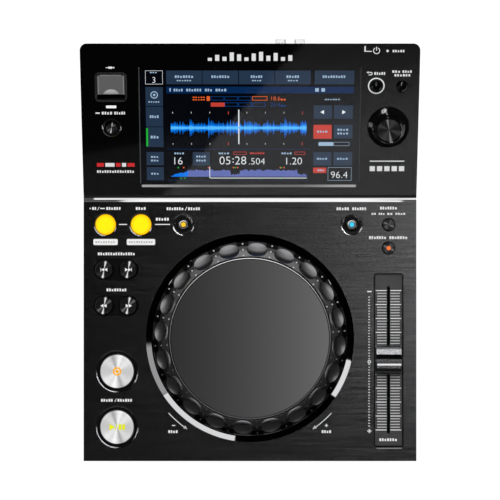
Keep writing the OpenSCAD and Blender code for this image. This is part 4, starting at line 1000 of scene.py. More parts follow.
class PLAYER_OT_deck_prints(Step):
    """Print the marks round the buttons and the wheel"""
    bl_idname = "player.deck_prints"
    bl_label = "Print Deck Marks"

    def build(self, context):
        line = context.scene.player_sizes.print_line / MM
        marks = on_deck()
        loop_y = deck_place("loop_in_button")[1]
        self.loop_row(marks, loop_y, line)
        self.top_labels(marks, loop_y + 11.7)
        self.lower_labels(marks)
        self.turn_arrows(marks, line)
        self.fader_marks(marks)
        marks.piece("deck_prints", "chassis", "brushed_black", print_paint())
        notes = Marks(on_level(DECK_TOP), 0.0, print_rise() * 1.6)
        notes.row(loop_y - 12.7, 1.2, (-112.4, -97.7), (-88.0, -70.4))
        notes.piece("deck_notes", "chassis", "brushed_black", grey_ink("print_grey", 0.42))

    def loop_row(self, marks, y, line):
        """Lines that tie the loop buttons together, and the white fields under two of them."""
        for left, right in ((-95.3, -89.4), (-69.1, -58.2)):
            marks.line((left, y + 0.1), (right, y + 0.1), line * 1.3)
        marks.word(-68.4, -58.3, y + 3.9)
        for left, right in ((-113.9, -96.2), (-89.6, -69.0)):
            marks.pill(left, y - 14.9, right, y - 10.5, 0.9)

    def top_labels(self, marks, y):
        """The labels over the upper row of buttons."""
        marks.dot(-116.2, y, 0.5, 12)
        marks.line((-110.8, y - 1.2), (-109.6, y + 1.2), 0.4)
        marks.box(-108.9, y - 0.4, -105.6, y + 0.4)
        marks.line((-47.2, y - 1.4), (-45.8, y + 1.2), 0.4)
        marks.row(y, 2.0, (-114.8, -111.2), (-104.5, -93.5), (-83.0, -75.4))
        marks.row(y - 0.2, 2.0, (-60.6, -48.0), (-45.0, -35.8), (63.0, 72.6), (74.4, 85.1))
        marks.row(7.5, 2.0, (86.6, 99.4), (101.4, 114.9))
        marks.word(94.6, 107.2, y + 0.3)
        marks.row(y - 3.9, 1.3, (88.4, 92.2), (93.6, 98.4), (99.8, 104.4), (105.8, 113.4))

    def lower_labels(self, marks):
        """The labels of the search buttons and of the play button."""
        for left, right, node in ((-110.6, -83.2, "track_back_button"),
                                  (-104.3, -89.3, "search_back_button")):
            marks.word(left, right, deck_place(node)[1] + 11.5)
        y = deck_place("play_button")[1] + 19.4
        marks.words((-108.3, -99.2, y), (-96.3, -85.2, y))
        marks.line((-98.4, y - 1.2), (-97.2, y + 1.2), 0.4)

    def turn_arrows(self, marks, line):
        """Arrows beside the wheel, with a minus and a plus, for its two ways of turning."""
        radius, tip, tail, sign_x, sign_y = 80.5, 304.6, 317.4, 55.6, -129.1
        jog_x, jog_y = JOG.x / MM, JOG.y / MM
        for side in (-1, 1):
            start, end = (tip, tail) if side > 0 else (540 - tail, 540 - tip)
            marks.arc(jog_x, jog_y, radius, line, start, end)
            head = math.radians(tip if side > 0 else 540 - tip)
            x, y = jog_x + radius * math.cos(head), jog_y + radius * math.sin(head)
            marks.triangle(x + side * 1.4, y + 1.2, 1.5, 270 - side * 58)
            marks.box(side * sign_x - 1.2, sign_y - 0.3, side * sign_x + 1.2, sign_y + 0.3)
            marks.word(side * 55.8 - 3.6, side * 55.8 + 3.6, -133.6)
        marks.box(sign_x - 0.3, sign_y - 1.2, sign_x + 0.3, sign_y + 1.2)

    def fader_marks(self, marks):
        """The dotted rule beside the tempo fader, from minus to plus, with a ring in the middle."""
        x, top, centre, low = 86.8, -33.7, -82.8, -131.6
        count = round((top - low) * MM / bpy.context.scene.player_sizes.scale_pitch)
        for i in range(1, count):
            y = top + (low - top) * i / count
            if abs(y - centre) > 1.8:
                marks.box(x - 0.75, y - 0.24, x + 0.4, y + 0.24)
        marks.ring(x, centre, 0.6, 1.3, 24)
        marks.boxes((x - 1.5, -32.1, x + 1.5, -31.3), (x - 1.4, -133.6, x + 1.4, -132.8),
                    (x - 0.4, -134.6, x + 0.4, -131.8))


class PLAYER_OT_fader_scale(Step):
    """Print the lines of the tempo scale and the mark on the fader cap"""
    bl_idname = "player.fader_scale"
    bl_label = "Print Tempo Scale"

    def build(self, context):
        sizes = context.scene.player_sizes
        low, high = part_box("fader_plate")
        x, edge = (low.x + high.x) / 2 / MM, low.y / MM - 0.4
        top, count, slot_half, half = -31.0, 51, 1.35, sizes.scale_line / MM / 2
        whites, greys = on_deck(DECK_TOP - PLATE_DROP), on_deck(DECK_TOP - PLATE_DROP)
        for i in range(count):
            y = top - i * sizes.scale_pitch / MM
            marks, reach = (whites, 9.3) if i % 5 == 0 else (greys, 8.3)
            marks.boxes((x - reach, y - half, x - slot_half, y + half),
                        (x + slot_half, y - half, x + reach, y + half))
        whites.word(x - 6.6, x + 6.6, -139.6)
        whites.piece("tempo_scale", "chassis", "gloss_black", print_paint())
        greys.piece("tempo_fine_scale", "chassis", "gloss_black", grey_ink("print_silver", 0.58))
        lip = on_deck()
        lip.box(x - 8.8, edge - 0.8, x + 9.6, edge - 0.2)
        lip.piece("plate_lip", "chassis", "brushed_black", grey_ink("lip_grey", 0.26))
        cap_low, cap_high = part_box("fader_cap")
        y = deck_place("fader_cap")[1]
        stripe = Marks(on_level(cap_high.z), -0.9, -0.35)
        stripe.box(cap_low.x / MM + 0.3, y - 3.45, cap_high.x / MM - 0.3, y - 2.15)
        stripe.piece("fader_cap_line", BODY_OF["fader_cap"], "white_plastic", print_paint())


class PLAYER_OT_console_prints(Step):
    """Print the marks on the console"""
    bl_idname = "player.console_prints"
    bl_label = "Print Console Marks"

    def build(self, context):
        marks = on_console()
        for draw in (self.power_icon, self.usb_icon, self.stop_label, self.back_label, self.tag_label,
                     self.meter, self.corner_marks):
            draw(marks)
        marks.piece("console_prints", "chassis", "console_gloss", print_paint())
        red = on_console()
        for left, right in ((-110.8, -105.6), (-97.0, -93.6), (-88.6, -83.4)):
            red.box(left, 21.6, right, 24.4)
        red.piece("console_red_marks", "chassis", "console_gloss",
                  Paint("print_red", display_colour(214, 30, 34), roughness=0.4))
        self.window_edges()

    def power_icon(self, marks):
        """The common power sign, tied to the rear button by a short bracket, and its lamp."""
        x, along = 89.9, 108.1
        marks.arc(x, along, 2.2, 0.55, -240, 60, 28)
        marks.line((x, along), (x, along + 2.9), 0.55)
        marks.boxes((81.2, 107.3, 86.6, 107.9), (81.2, 107.9, 82.2, 111.4))
        marks.dot(97.7, 107.9, 0.9, 20)
        marks.word(101.3, 110.4, 107.8, 1.7)

    def window_edges(self):
        """Polished edge under the display, a strip painted as its highlight and paler toward its ends; and
        the fine lines beside it.
        """
        lip = on_console(3)
        lip.pill(-78.6, 6.1, 77.0, 7.9, 0.8)
        paint = Paint("window_edge_highlight", (0.3, 0.3, 0.3), metallic=0.3, roughness=0.3)
        x = paint.parts(paint.place())[0]
        drawn = paint.noise((40, 3000, 3000))
        # Painted highlight: the strip is paler toward its ends.
        paint.feed("Base Color", 0.2 + abs(x).step(0.03, 0.078) * 0.3 + drawn * 0.06)
        lip.piece("window_edge_highlight", "chassis", "polished_trim", paint)
        sides = on_console()
        sides.boxes((-79.6, 9.0, -78.9, 96.0), (78.9, 9.0, 79.3, 96.0))
        sides.piece("window_sides", "chassis", "polished_trim", grey_ink("side_line", 0.05, 0.3))

    def usb_icon(self, marks):
        """A plug over a line: a stick goes in here."""
        x, along = -99.5, 95.6
        marks.boxes((x - 1.4, along - 0.8, x + 1.4, along + 0.8),
                    (x + 1.7, along - 0.5, x + 2.9, along + 0.5))
        marks.line((x - 3.3, along), (x - 1.4, along), 0.5)

    def stop_label(self, marks):
        x, along = slope_place("usb_stop_button")
        label = along + 10.4
        marks.box(x - 11.4, label - 0.5, x - 8.4, label + 0.5)
        marks.words((x - 6.9, x + 1.0, label), (x + 2.0, x + 10.4, label))

    def back_label(self, marks):
        """A ring round the button and an arrow that turns back."""
        x, along = slope_place("back_button")
        marks.ring(x, along, 5.1, 6.0)
        label = along + 9.1
        marks.arc(x - 4.0, label - 0.1, 0.9, 0.6, -90, 90, 12)
        for rise in (0.8, -1.0):
            marks.line((x - 5.6, label + rise), (x - 4.0, label + rise), 0.6)
        marks.triangle(x - 6.2, label + 0.8, 1.0, 180)
        marks.word(x - 1.6, x + 6.8, label)

    def tag_label(self, marks):
        x, along = slope_place("tag_button")
        marks.row(along + 10.5, 1.7, (x - 7.2, x - 0.9), (x + 0.1, x + 7.2))
        marks.word(x - 5.6, x + 6.4, along + 7.8, 1.7)

    def meter(self, marks):
        """Bars of a level meter over the display."""
        heights = (2.2, 4.4, 3.0, 6.2, 4.8, 2.6, 5.4, 6.6, 3.8, 5.8, 2.8, 4.2)
        for i, height in enumerate(heights):
            left = -30 + i * 5.2
            marks.box(left, 100.6, left + 2.9, 100.6 + height)

    def corner_marks(self, marks):
        """Plain rules in the lower corners."""
        for left, right in ((-104.6, -98.0), (-92.6, -89.6)):
            marks.box(left, 21.6, right, 24.4)
        marks.word(-110.8, -83.4, 17.9, 1.9)
        marks.box(86.6, 25.4, 111.6, 26.2)
        for i in range(5):
            marks.box(86.6 + i * 5.3, 18.2, 90.4 + i * 5.3, 22.0)


class PLAYER_OT_signs(Step):
    """Add the lit dots and the marks on the buttons"""
    bl_idname = "player.signs"
    bl_label = "Add Lit Signs"

    def build(self, context):
        tints = context.scene.player_colours
        for node, tint, radius in (("loop_exit_button", tints.exit_light, 1.75),
                                   ("vinyl_button", tints.vinyl_light, 1.75),
                                   ("master_tempo_button", tints.tempo_light, 1.5)):
            marks = on_cap(node, 0.25)
            marks.dot(*deck_place(node), radius)
            self.light(marks, node, node.replace("_button", "_lamp"), tint)
        for node in ("loop_exit_button", "vinyl_button"):
            self.lamp_seat(node)
        for name, icon, turn in (("track_back", skip_icon, -1), ("track_next", skip_icon, 1),
                                 ("search_back", wind_icon, -1), ("search_forward", wind_icon, 1)):
            node = name + "_button"
            marks = on_cap(node)
            icon(marks, *deck_place(node), turn)
            marks.piece(name + "_icon", BODY_OF[node], "white_plastic", print_paint())
        self.cue_sign(tints.cue_light)
        self.play_sign(tints.play_light)
        bar = on_console()
        bar.pill(-103.2, 65.6, -95.8, 67.6, 0.5)
        bar.piece("usb_lamp", "chassis", "white_plastic", lit_paint("usb_lamp", (0.9, 0.9, 0.9), 0.9))

    def light(self, marks, node, name, tint):
        marks.piece(name, BODY_OF[node], "lit_yellow", lit_paint(name, tint))

    def lamp_seat(self, node):
        """A ring round a button's lamp that stands in for the highlight there, painted brightest on its
        rear-left side.
        """
        name = node.replace("_button", "_lamp_seat")
        marks = on_cap(node)
        marks.ring(*deck_place(node), 2.3, 3.6)
        paint = Paint(name, (0.3, 0.3, 0.3), metallic=0.2, roughness=0.3)
        radius, away = around(paint, middle(node))
        # Painted highlight: the ring is paler toward the rear and left.
        rise = away.dot((-0.4, 0.9, 0))
        paint.feed("Base Color", 0.1 + rise.step(-0.2, 0.9) * 0.6 + turned_rings(paint, radius) * 0.05)
        marks.piece(name, BODY_OF[node], "white_plastic", paint)

    def cue_sign(self, tint):
        """A dot in a ring marks the cue point."""
        x, y = deck_place("cue_button")
        marks = on_cap("cue_button")
        marks.ring(x, y, 2.0, 3.1)
        marks.dot(x, y, 1.2)
        self.light(marks, "cue_button", "cue_sign", tint)

    def play_sign(self, tint):
        """A triangle, a stroke and two bars: play and pause."""
        x, y = deck_place("play_button")
        marks = on_cap("play_button")
        marks.triangle(x - 4.2, y, 2.7, 0)
        marks.line((x - 1.4, y - 2.2), (x + 0.2, y + 2.2), 0.6)
        for shift in (2.2, 4.8):
            marks.box(x + shift - 0.95, y - 2.1, x + shift + 0.95, y + 2.1)
        self.light(marks, "play_button", "play_sign", tint)


class PLAYER_OT_picture(Step):
    """Light the display with a plain player picture"""
    bl_idname = "player.picture"
    bl_label = "Light Display"

    LEFT, COLUMN, RIGHT, HIGH = -74.75, -62.35, 74.3, 93.4
    ROW, ROW_LOW = (-59.8, -33.9, -8.0, 17.9, 46.2), 83.3
    ROW_PITCH, KEY_GAP = 25.9, 0.5
    COLUMN_KEYS = ((81.2, 67.1), (66.6, 51.8), (51.3, 36.4), (32.7, 22.7), (21.2, 11.2))
    SIDE, SIDE_MIDDLE, TIME_KEY = (45.7, 58.8), (60.3, 73.8), (-41.4, -29.0)
    WAVE, BEAT, FIRST_BEAT = (-57.0, 41.2), 13.3, -55.45

    def build(self, context):
        sizes, tints = context.scene.player_sizes, context.scene.player_colours
        self.step = sizes.picture_step / MM
        self.glass = -sizes.glass_drop / MM
        self.random = random.Random(7)
        self.tiles(tints.tile)
        self.title(tints.title)
        self.wave(sizes.wave_bars, tints)
        self.overview(tints)
        self.coloured(tints)
        self.light_marks()
        self.key_words()

    def layer(self, level=1):
        """Shapes on the glass; a higher level lies over a lower one."""
        return Marks(on_slope, self.glass + SINK, self.glass + level * self.step)

    def show(self, marks, name, tint):
        marks.piece(name, "chassis", "touch_glass", lit_paint(name, tint))

    def tiles(self, tint):
        """Rows and columns of plain tiles for the picture's keys."""
        marks = self.layer()
        for left in self.ROW:
            right = self.RIGHT if left > 40 else left + self.ROW_PITCH - self.KEY_GAP
            marks.box(left, self.ROW_LOW, right, self.HIGH)
        for high, low in self.COLUMN_KEYS:
            marks.box(self.LEFT, low, self.COLUMN, high)
        for (left, right), low, high in ((self.SIDE, 57.6, 67.6), (self.SIDE, 22.4, 32.6),
                                         (self.SIDE_MIDDLE, 57.6, 67.6), (self.SIDE_MIDDLE, 42.8, 53.1),
                                         (self.SIDE_MIDDLE, 22.4, 32.6), (self.TIME_KEY, 22.4, 32.6)):
            marks.box(left, low, right, high)
        self.show(marks, "picture_tiles", tint)

    def title(self, tint):
        marks = self.layer()
        left = self.ROW[0]
        marks.boxes((left, 76.5, self.RIGHT, 81.5), (left, 34.6, 43.0, 35.0), (left, 11.0, 43.0, 11.3))
        self.show(marks, "picture_title", tint)

    def wave(self, count, tints):
        """A wave of beats about a middle line: each beat starts high and dies away in spikes."""
        (left, right), centre, reach, beat = self.WAVE, 50.8, 8.0, self.BEAT
        pitch = (right - left) / count
        heights = []
        for i in range(count):
            phase = ((i * pitch) % beat) / beat
            punch = math.exp(-phase * 2.6)
            spike = self.random.uniform(0.35, 1.0)
            heights.append(reach * min(1, (0.5 + 0.8 * punch) * spike))
        for name, tint, share, level in (("picture_wave", tints.wave, 1.0, 1),
                                         ("picture_wave_core", tints.wave_core, 0.3, 2)):
            marks = self.layer(level)
            upper, lower = [], []
            for i, height in enumerate(heights):
                tall = height * share * self.random.uniform(0.8, 1.0)
                x = left + i * pitch
                upper.append((x, centre + 0.3 + (tall if i % 2 else tall * 0.34)))
                lower.append((x, centre - 0.3 - (tall if i % 2 else tall * 0.38)))
            marks.outline(lower + upper[::-1])
            self.show(marks, name, tint)

    def overview(self, tints):
        """The whole track as one low strip: a rising start, then two long loud parts."""
        (left, right), low, count = self.WAVE, 13.9, 120
        pitch = (right - left) / count
        for name, tint, first, last in (("picture_overview_start", tints.wave, 0, 15),
                                        ("picture_overview", tints.overview, 15, count)):
            upper = []
            for i in range(first, last + 1):
                part = i / count
                level = part * 26 if part < 0.12 else 4.2 if part < 0.44 or 0.5 < part < 0.93 else 1.0
                upper.append((left + i * pitch, low + 0.6 + level + self.random.uniform(-0.5, 0.8)))
            marks = self.layer()
            marks.outline([(left + first * pitch, low), (left + last * pitch, low)] + upper[::-1])
            self.show(marks, name, tint)

    def beat_lines(self, marks, beats, lows, half, tall):
        """Short upright lines over and under the wave, at some of its beats."""
        for beat in beats:
            x = self.FIRST_BEAT + beat * self.BEAT
            for low in lows:
                marks.box(x - half, low, x + half, low + tall)

    def coloured(self, tints):
        """Red, orange, blue and green marks."""
        red = self.layer()
        red.boxes((self.SIDE[0], 42.6, self.SIDE[1], 53.1), (-28.1, 66.7, -18.1, 69.7))
        red.pill(self.SIDE[0], 16.7, 55.2, 20.8, 0.5)
        self.beat_lines(red, (3, 7), (60.9, 37.8), 0.25, 2.2)
        red.frame(-12.0, 30.6, -2.4, 32.8, 0.3)
        red.frame(32.2, 30.6, 39.8, 32.8, 0.3)
        red.word(0.0, 11.0, 31.7, 1.4)
        self.show(red, "picture_red", tints.alert)
        orange = self.layer()
        orange.frame(1.6, 71.3, 12.4, 74.3, 0.35)
        orange.box(-31.0, 71.0, -28.8, 74.4)
        orange.number("18.6", 14.4, 71.3, 3.0)
        orange.words((-41.0, -31.6, 73.6, 0.9), (-41.0, -31.6, 71.8, 0.9), (22.0, 26.4, 71.9, 1.1))
        orange.triangles((-48.0, -30.0, -12.0, -9.0, 22.0, 24.6), 20.8, 0.8, 270)
        self.show(orange, "picture_orange", tints.beat)
        blue = self.layer()
        for i, left in enumerate((-28.1, -18.2, -8.3, 1.6)):
            if i < 3:
                blue.frame(left, 71.3, left + 9.4, 74.3, 0.3)
            if i:
                blue.frame(left, 66.7, left + 9.4, 69.7, 0.3)
        blue.number("25.4", 14.4, 66.7, 3.0)
        blue.word(22.0, 26.4, 67.3, 1.1)
        self.show(blue, "picture_blue", [c * 0.3 for c in tints.wave])
        green = self.layer(2)
        green.box(self.LEFT, 37.0, self.LEFT + 1.3, 50.6)
        green.triangles((-50.0, -47.2, -12.4, 8.4, 22.6), 12.6, 0.8, 90)
        green.triangles((-52.0, -10.6, 22.6), 20.8, 0.8, 270)
        self.show(green, "picture_green", tints.ready)

    def light_marks(self):
        """White figures, arrows and marks over the rest."""
        marks = self.layer(2)
        marks.frame(self.LEFT, self.ROW_LOW, self.COLUMN, self.HIGH, 0.22)
        for figures in (("3", -70.2, 84.3, 4.4), ("16", -56.4, 23.2, 5.6), ("05", -22.4, 23.2, 6.2),
                        ("28", -11.2, 23.2, 6.2), (".504", -1.2, 23.2, 5.0), ("1.20", 24.6, 23.2, 5.4),
                        ("96.4", 58.2, 12.8, 5.2)):
            marks.number(*figures)
        for along in (25.0, 27.4):
            marks.dot(-12.2, along, 0.45, 10)
        for x, turn in ((52.2, 180), (67.0, 0)):
            marks.triangle(x, 62.6, 1.8, turn)
        marks.boxes((-8.45, 38.6, -7.65, 64.4), (-29.4, 13.0, -28.9, 21.4),
                    (-28.9, 12.6, self.WAVE[1], 13.1))
        self.beat_lines(marks, (0, 1, 2, 4, 5, 6), (61.6, 38.2), 0.15, 1.2)
        self.show(marks, "picture_light_marks", (0.75, 0.78, 0.8))

    def key_words(self):
        """Pale marks on the keys: rows of blocks, with smaller ones under them."""
        pale = self.layer(2)
        for left, half in zip(self.ROW, (6.8, 6.6, 4.4, 4.8, 8.4)):
            x = (left + (self.RIGHT if left > 40 else left + self.ROW_PITCH)) / 2
            pale.word(x - half, x + half, 88.9, 1.8)
            if left not in (self.ROW[1], self.ROW[4]):
                pale.word(x - half * 0.8, x + half * 0.8, 86.0, 0.9)
        x = (self.LEFT + self.COLUMN) / 2
        pale.ring(x, 75.4, 2.0, 2.7, 32)
        pale.dot(x, 75.4, 0.9, 16)
        pale.words((x - 4.2, x + 4.2, 70.2, 0.9), (x - 3.4, x + 3.4, 59.2), (x - 3.0, x + 3.4, 43.9),
                   (self.LEFT + 3.4, self.COLUMN - 3.4, 92.0, 0.9), (49.0, 54.2, 18.8, 1.4),
                   (53.6, 65.0, 72.0, 0.9))
        for along in (28.9, 26.2, 16.2):
            pale.word(x - 3.0, x + 3.0, along, 1.3)
        for (left, right), along in ((self.SIDE, 48.0), (self.SIDE_MIDDLE, 49.4),
                                     (self.SIDE_MIDDLE, 46.6), (self.SIDE, 27.5),
                                     (self.SIDE_MIDDLE, 27.5), (self.TIME_KEY, 29.2), (self.TIME_KEY, 26.2)):
            pale.word(left + 2.6, right - 2.6, along, 1.4)
        pale.row(31.6, 1.3, (-54.6, -47.2), (-22.6, -14.6), (22.8, 30.6))
        pale.frame(56.4, 11.0, self.RIGHT - 0.8, 21.0, 0.2)
        pale.pill(49.4, 37.3, 60.0, 40.1, 0.4)
        pale.frame(60.2, 37.3, 71.6, 40.1, 0.2)
        pale.row(79.0, 1.9, (-54.6, -47.6), (-45.6, -34.2), (-32.2, -26.6), (-24.6, -16.4))
        pale.boxes((-57.6, 78.0, -56.6, 80.4), (46.6, 77.8, 49.2, 80.4), (51.0, 77.8, 53.6, 80.4))
        self.show(pale, "picture_pale_marks", display_colour(150, 176, 200))


# The stage, which is not part of the object ---------------------------------------------------

SEEN_RAYS = ("Is Camera Ray", "Is Glossy Ray", "Is Transmission Ray")


def sheet(name, half, material):
    """A level square stage piece."""
    data = bpy.data.meshes.new(name)
    corners = [(-half, -half, 0), (half, -half, 0), (half, half, 0), (-half, half, 0)]
    data.from_pydata(corners, [], [(0, 1, 2, 3)])
    data.materials.append(material)
    made = link_object(name, data)
    return made


class PLAYER_OT_stage(Step):
    """Set the floor, the light and the camera"""
    bl_idname = "player.stage"
    bl_label = "Set Stage"

    def build(self, context):
        stage = context.scene.player_stage
        self.floor(stage)
        self.world(stage)
        self.lamps(stage)
        self.sky()
        self.camera(stage)
        context.scene.view_settings.view_transform = "Standard"

    def seen(self, paint):
        """1 for rays from the camera, a mirror or glass, and 0 for all others."""
        made = paint.tree.nodes.new("ShaderNodeLightPath")
        rays = [Value(paint, made.outputs[name]) for name in SEEN_RAYS]
        return (rays[0] + rays[1] + rays[2]).clamped()

    def floor(self, stage):
        """A white floor: most of its white is its own, and the rest takes the object's shadow."""
        share, white = stage.floor_share, 1.11
        paint = Paint("floor_white", (share, share, share), roughness=1.0, specular_ior_level=0.0)
        paint.set("Emission Color", (1, 1, 1, 1))
        paint.feed("Emission Strength", self.seen(paint) * (white - share))
        sheet("floor", 12, paint.material)

    def world(self, stage):
        """White where the camera, a mirror or glass sees it, and a plain level as light."""
        world = bpy.data.worlds.new("studio")
        bpy.context.scene.world = world
        world.use_nodes = True
        tree = world.node_tree
        paths = tree.nodes.new("ShaderNodeLightPath")
        seen = paths.outputs[SEEN_RAYS[0]]
        for name in SEEN_RAYS[1:]:
            either = tree.nodes.new("ShaderNodeMath")
            either.operation = "MAXIMUM"
            tree.links.new(seen, either.inputs[0])
            tree.links.new(paths.outputs[name], either.inputs[1])
            seen = either.outputs[0]
        level = tree.nodes.new("ShaderNodeMapRange")
        level.inputs["To Min"].default_value = stage.fill
        tree.links.new(seen, level.inputs["Value"])
        tree.links.new(level.outputs[0], tree.nodes["Background"].inputs["Strength"])
        tree.nodes["Background"].inputs["Color"].default_value = (1, 1, 1, 1)

    def lamps(self, stage):
        """Two soft lamps behind the player, right and left."""
        height, reach = math.radians(40), 2.2
        for name, bearing in (("lamp_right", 37), ("lamp_left", -60)):
            light = bpy.data.lights.new(name, "AREA")
            light.shape = "RECTANGLE"
            light.size, light.size_y = 1.6, 1.2
            light.energy = stage.lamp_power
            made = link_object(name, light)
            turn = math.radians(bearing)
            away = Vector((math.sin(turn) * math.cos(height), math.cos(turn) * math.cos(height),
                           math.sin(height)))
            made.location = away * reach
            made.rotation_euler = away.to_track_quat("Z", "Y").to_euler()
            made.visible_glossy = False

    def room(self, x, y, z):
        """What the deck mirrors: a soft box overhead that brightens to the right, and one behind."""
        east, north = x / z, y / z
        front = north.step(-0.11, -0.135)
        low = 0.1 * (1 - east.step(-0.02, 0.06) * 0.5)
        overhead = 0.17 * math.e ** (east * 15.5) * (1 - front) + low * front
        overhead = overhead * (1 - east.step(0.09, 0.11) * north.step(-0.02, -0.08) * 0.5)
        overhead = overhead * (1 - north.step(0.01, 0.03) * 0.36)
        near = abs(east).step(0.3, 0.18) * abs(north).step(0.44, 0.3)
        rear = north.step(0.3, 0.5) * abs(east + 0.04).step(0.7, 0.3)
        left = east.step(-0.45, -0.62) * north.step(-0.35, 0.1)
        return near * overhead + rear * 0.8 + left * 0.2 + 0.01

    def front_box(self, x, y, z):
        """What the console mirrors: a soft box in front, cut off aslant, over a dark room."""
        east, north = x / z, y / z
        edge = ((east - 0.045) * 0.161 - (north + 0.61) * 0.123).step(-0.0004, 0.0004)
        lit = 0.2 + 0.6 * north.step(-0.6, -0.72)
        dim = 0.1 * ((north + 0.727) * 0.052 - (east + 0.154) * 0.011).step(0.0001, -0.0001)
        return edge * lit + (1 - edge) * (dim + 0.06 * north.step(-0.7, -0.78)) + 0.006

    def low_boxes(self, x, y, z):
        """What the ring round the wheel mirrors: narrow boxes low in front."""
        turn, far = azimuth(x, y), distance(x, y) / z
        level = self.between(turn, 188, 233, 0.6) * 12 + self.between(turn, 233, 262, 4) * 5.4
        level = level + self.between(turn, 106.5, 128, 0.6) * 12.5
        return far.step(0.9, 1.2) * level + 0.006

    def bezel_boxes(self, x, y, z):
        """What the slopes of the bezels mirror: boxes low in front with soft ends."""
        turn, far = azimuth(x, y), distance(x, y) / z
        level = self.between(turn, 188, 258, 14) * 12 + self.between(turn, 104, 130, 10) * 7
        level = level + self.between(turn, 300, 50, 14) * 0.5
        return far.step(1.35, 1.6) * far.step(8, 6) * level + 0.01

    def knob_boxes(self, x, y, z):
        """What the selector mirrors: a bright box behind and a dim one at the left."""
        up = y * UP_SLOPE.y + z * UP_SLOPE.z
        out = y * OUT_OF_SLOPE.y + z * OUT_OF_SLOPE.z
        side, rise = x / out, up / out
        behind = abs(side + 0.09).step(0.13, 0.1) * rise.step(0.15, 0.2)
        beside = side.step(-0.5, -0.6) * abs(rise + 0.17).step(0.12, 0.09)
        return (out > 0) * (behind * 9 + beside * 2.6) + 0.02

    @staticmethod
    def between(turn, start, end, soft):
        """1 between two azimuths in degrees, clockwise from the rear, with soft ends."""
        first, last = (math.radians(angle - 360 if angle > 180 else angle) for angle in (start, end))
        half = math.radians(soft) / 2
        return turn.step(first - half, first + half) * turn.step(last + half, last - half)

    def over_wheel(self, x, y, z):
        """What the dimples mirror: a box over the rear half of the wheel."""
        turn, far = azimuth(x, y), distance(x, y)
        middle_box = y.step(-0.005, 0.005) * far.step(0.09, 0.06) * 0.72
        rear_box = far.step(0.06, 0.09) * far.step(0.19, 0.13) * 0.48 * math.e ** (turn * turn * -1.5)
        return middle_box + rear_box + 0.03

    def over_trim(self, x, y, z):
        """What the trim ring mirrors: light that grows to the rear."""
        rear = (y / distance(x, y)).clamped()
        return rear * rear * 1.5 + 0.16

    def over_plate(self, x, y, z):
        """What the top plate mirrors: light that grows to the right."""
        return (0.19 * math.e ** (x * 13.5)).least(0.6)

    def behind_cap(self, x, y, z):
        """What the ramp of the fader cap mirrors: a bright box behind."""
        north = y / z
        return north.step(0.35, 0.5) * north.step(1.5, 1.2) * 2.4 + north.step(-1.2, -0.9) * 0.36 + 0.02

    def white(self, x, y, z):
        """Even light; z only gives it a value that can be linked."""
        return z * 0.0001 + 1.35

    def dark(self, x, y, z):
        return z * 0.0001

    def sky(self):
        """Boxes and flags that only mirrors and sheen see, each set for its own pieces."""
        def solids(*names):
            return [frame["nodes"][name] for name in names]

        console = solids("console_plate", "touch_glass", "usb_stop_button", "usb_frame")
        domes = ((self.front_box, console + console_pieces),
                 (self.low_boxes, solids("jog_well_ring")),
                 (self.bezel_boxes, solids("button_bezels")),
                 (self.behind_cap, solids("fader_cap")),
                 (self.knob_boxes, solids("selector_knob", "back_button", "tag_button")),
                 (self.white, solids("phono_sockets")))
        sheets = ((self.over_wheel, solids("jog_grip_ring")),
                  (self.over_plate, solids("jog_top_plate")),
                  (self.over_trim, solids("jog_trim_ring")))
        special = [piece for _, pieces in domes + sheets for piece in pieces]
        inner, first, step, outer = 2.35, 2.4, 0.02, 2.7
        self.dome("studio_shell", inner, self.room, special, False)
        for i, (pattern, pieces) in enumerate(domes):
            self.dome(pattern.__name__ + "_shell", first + step * i, pattern, pieces, True)
        self.dome("dark_shell", outer, self.dark, [], False)
        half, height, gap = 0.2, 0.1, 0.002
        for i, (pattern, pieces) in enumerate(sheets):
            name = pattern.__name__ + "_sheet"
            made = sheet(name, half, self.glow(name, pattern).material)
            made.location = JOG + Vector((0, 0, height + i * gap))
            self.aim(made, pieces, True)

    def glow(self, name, pattern):
        """Light painted over a piece of the stage, which lets all other light through."""
        paint = Paint(name, (0, 0, 0))
        level = pattern(*paint.parts(paint.place()))
        light = paint.node("ShaderNodeEmission", {}, {"Color": level, "Strength": 1.0})
        if pattern != self.dark:
            clear = paint.node("ShaderNodeBsdfTransparent", {}, {})
            light = paint.node("ShaderNodeAddShader", {}, {0: light, 1: clear})
        paint.tree.links.new(light.socket, paint.output.inputs["Surface"])
        paint.tree.nodes.remove(paint.shader)
        paint.material.cycles.emission_sampling = "NONE"
        return paint

    def dome(self, name, radius, pattern, pieces, only):
        """A dome round the player, painted by direction."""
        data = bpy.data.meshes.new(name)
        shell = bmesh.new()
        bmesh.ops.create_uvsphere(shell, u_segments=64, v_segments=32, radius=radius)
        foot = 0.03
        low = [face for face in shell.faces if face.calc_center_median().z < foot]
        bmesh.ops.delete(shell, geom=low, context="FACES")
        shell.to_mesh(data)
        shell.free()
        data.materials.append(self.glow(name, pattern).material)
        made = link_object(name, data)
        made.location = (0, 0, DECK_TOP)
        self.aim(made, pieces, only)

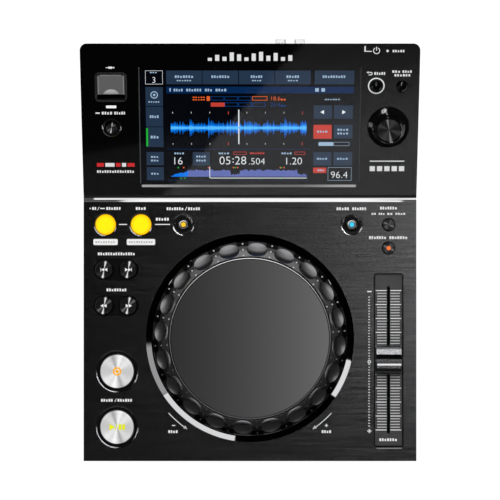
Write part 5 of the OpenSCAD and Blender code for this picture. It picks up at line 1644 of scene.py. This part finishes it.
    def aim(self, made, pieces, only):
        """Hides a glowing piece from all but mirrors, and lights only the pieces or all but them."""
        for rays in ("visible_camera", "visible_diffuse", "visible_transmission", "visible_shadow",
                     "visible_volume_scatter"):
            setattr(made, rays, False)
        receivers = bpy.data.collections.new(made.name)
        for piece in pieces:
            receivers.objects.link(piece)
        for entry in receivers.collection_objects:
            entry.light_linking.link_state = "INCLUDE" if only else "EXCLUDE"
        made.light_linking.receiver_collection = receivers

    def camera(self, stage):
        data = bpy.data.cameras.new("camera")
        data.lens = stage.lens
        data.sensor_width = 36
        made = link_object("camera", data)
        made.location = (0, stage.camera_y, stage.camera_height)
        bpy.context.scene.camera = made


STEPS = (PLAYER_OT_case, PLAYER_OT_wheel, PLAYER_OT_controls, PLAYER_OT_works, PLAYER_OT_deck_prints,
         PLAYER_OT_fader_scale, PLAYER_OT_console_prints, PLAYER_OT_signs, PLAYER_OT_picture,
         PLAYER_OT_stage)
GROUPS = {"player_sizes": PlayerSizes, "player_colours": PlayerColours, "player_stage": PlayerStage}


class PLAYER_PT_panel(bpy.types.Panel):
    """The steps and the values that they use."""
    bl_idname = "PLAYER_PT_panel"
    bl_label = "Player"
    bl_space_type = "VIEW_3D"
    bl_region_type = "UI"
    bl_category = "Player"

    def draw(self, context):
        for step in STEPS:
            self.layout.operator(step.bl_idname)
        for name, group in GROUPS.items():
            box = self.layout.box()
            for value in group.__annotations__:
                box.prop(getattr(context.scene, name), value)


def register():
    for kind in (*GROUPS.values(), *STEPS, PLAYER_PT_panel):
        bpy.utils.register_class(kind)
    for name, group in GROUPS.items():
        setattr(bpy.types.Scene, name, PointerProperty(type=group))


def unregister():
    for name in GROUPS:
        delattr(bpy.types.Scene, name)
    for kind in (PLAYER_PT_panel, *reversed(STEPS), *reversed(GROUPS.values())):
        bpy.utils.unregister_class(kind)


def main():
    register()
    for step in STEPS:
        group, name = step.bl_idname.split(".")
        getattr(getattr(bpy.ops, group), name)()


if __name__ == "__main__":
    main()
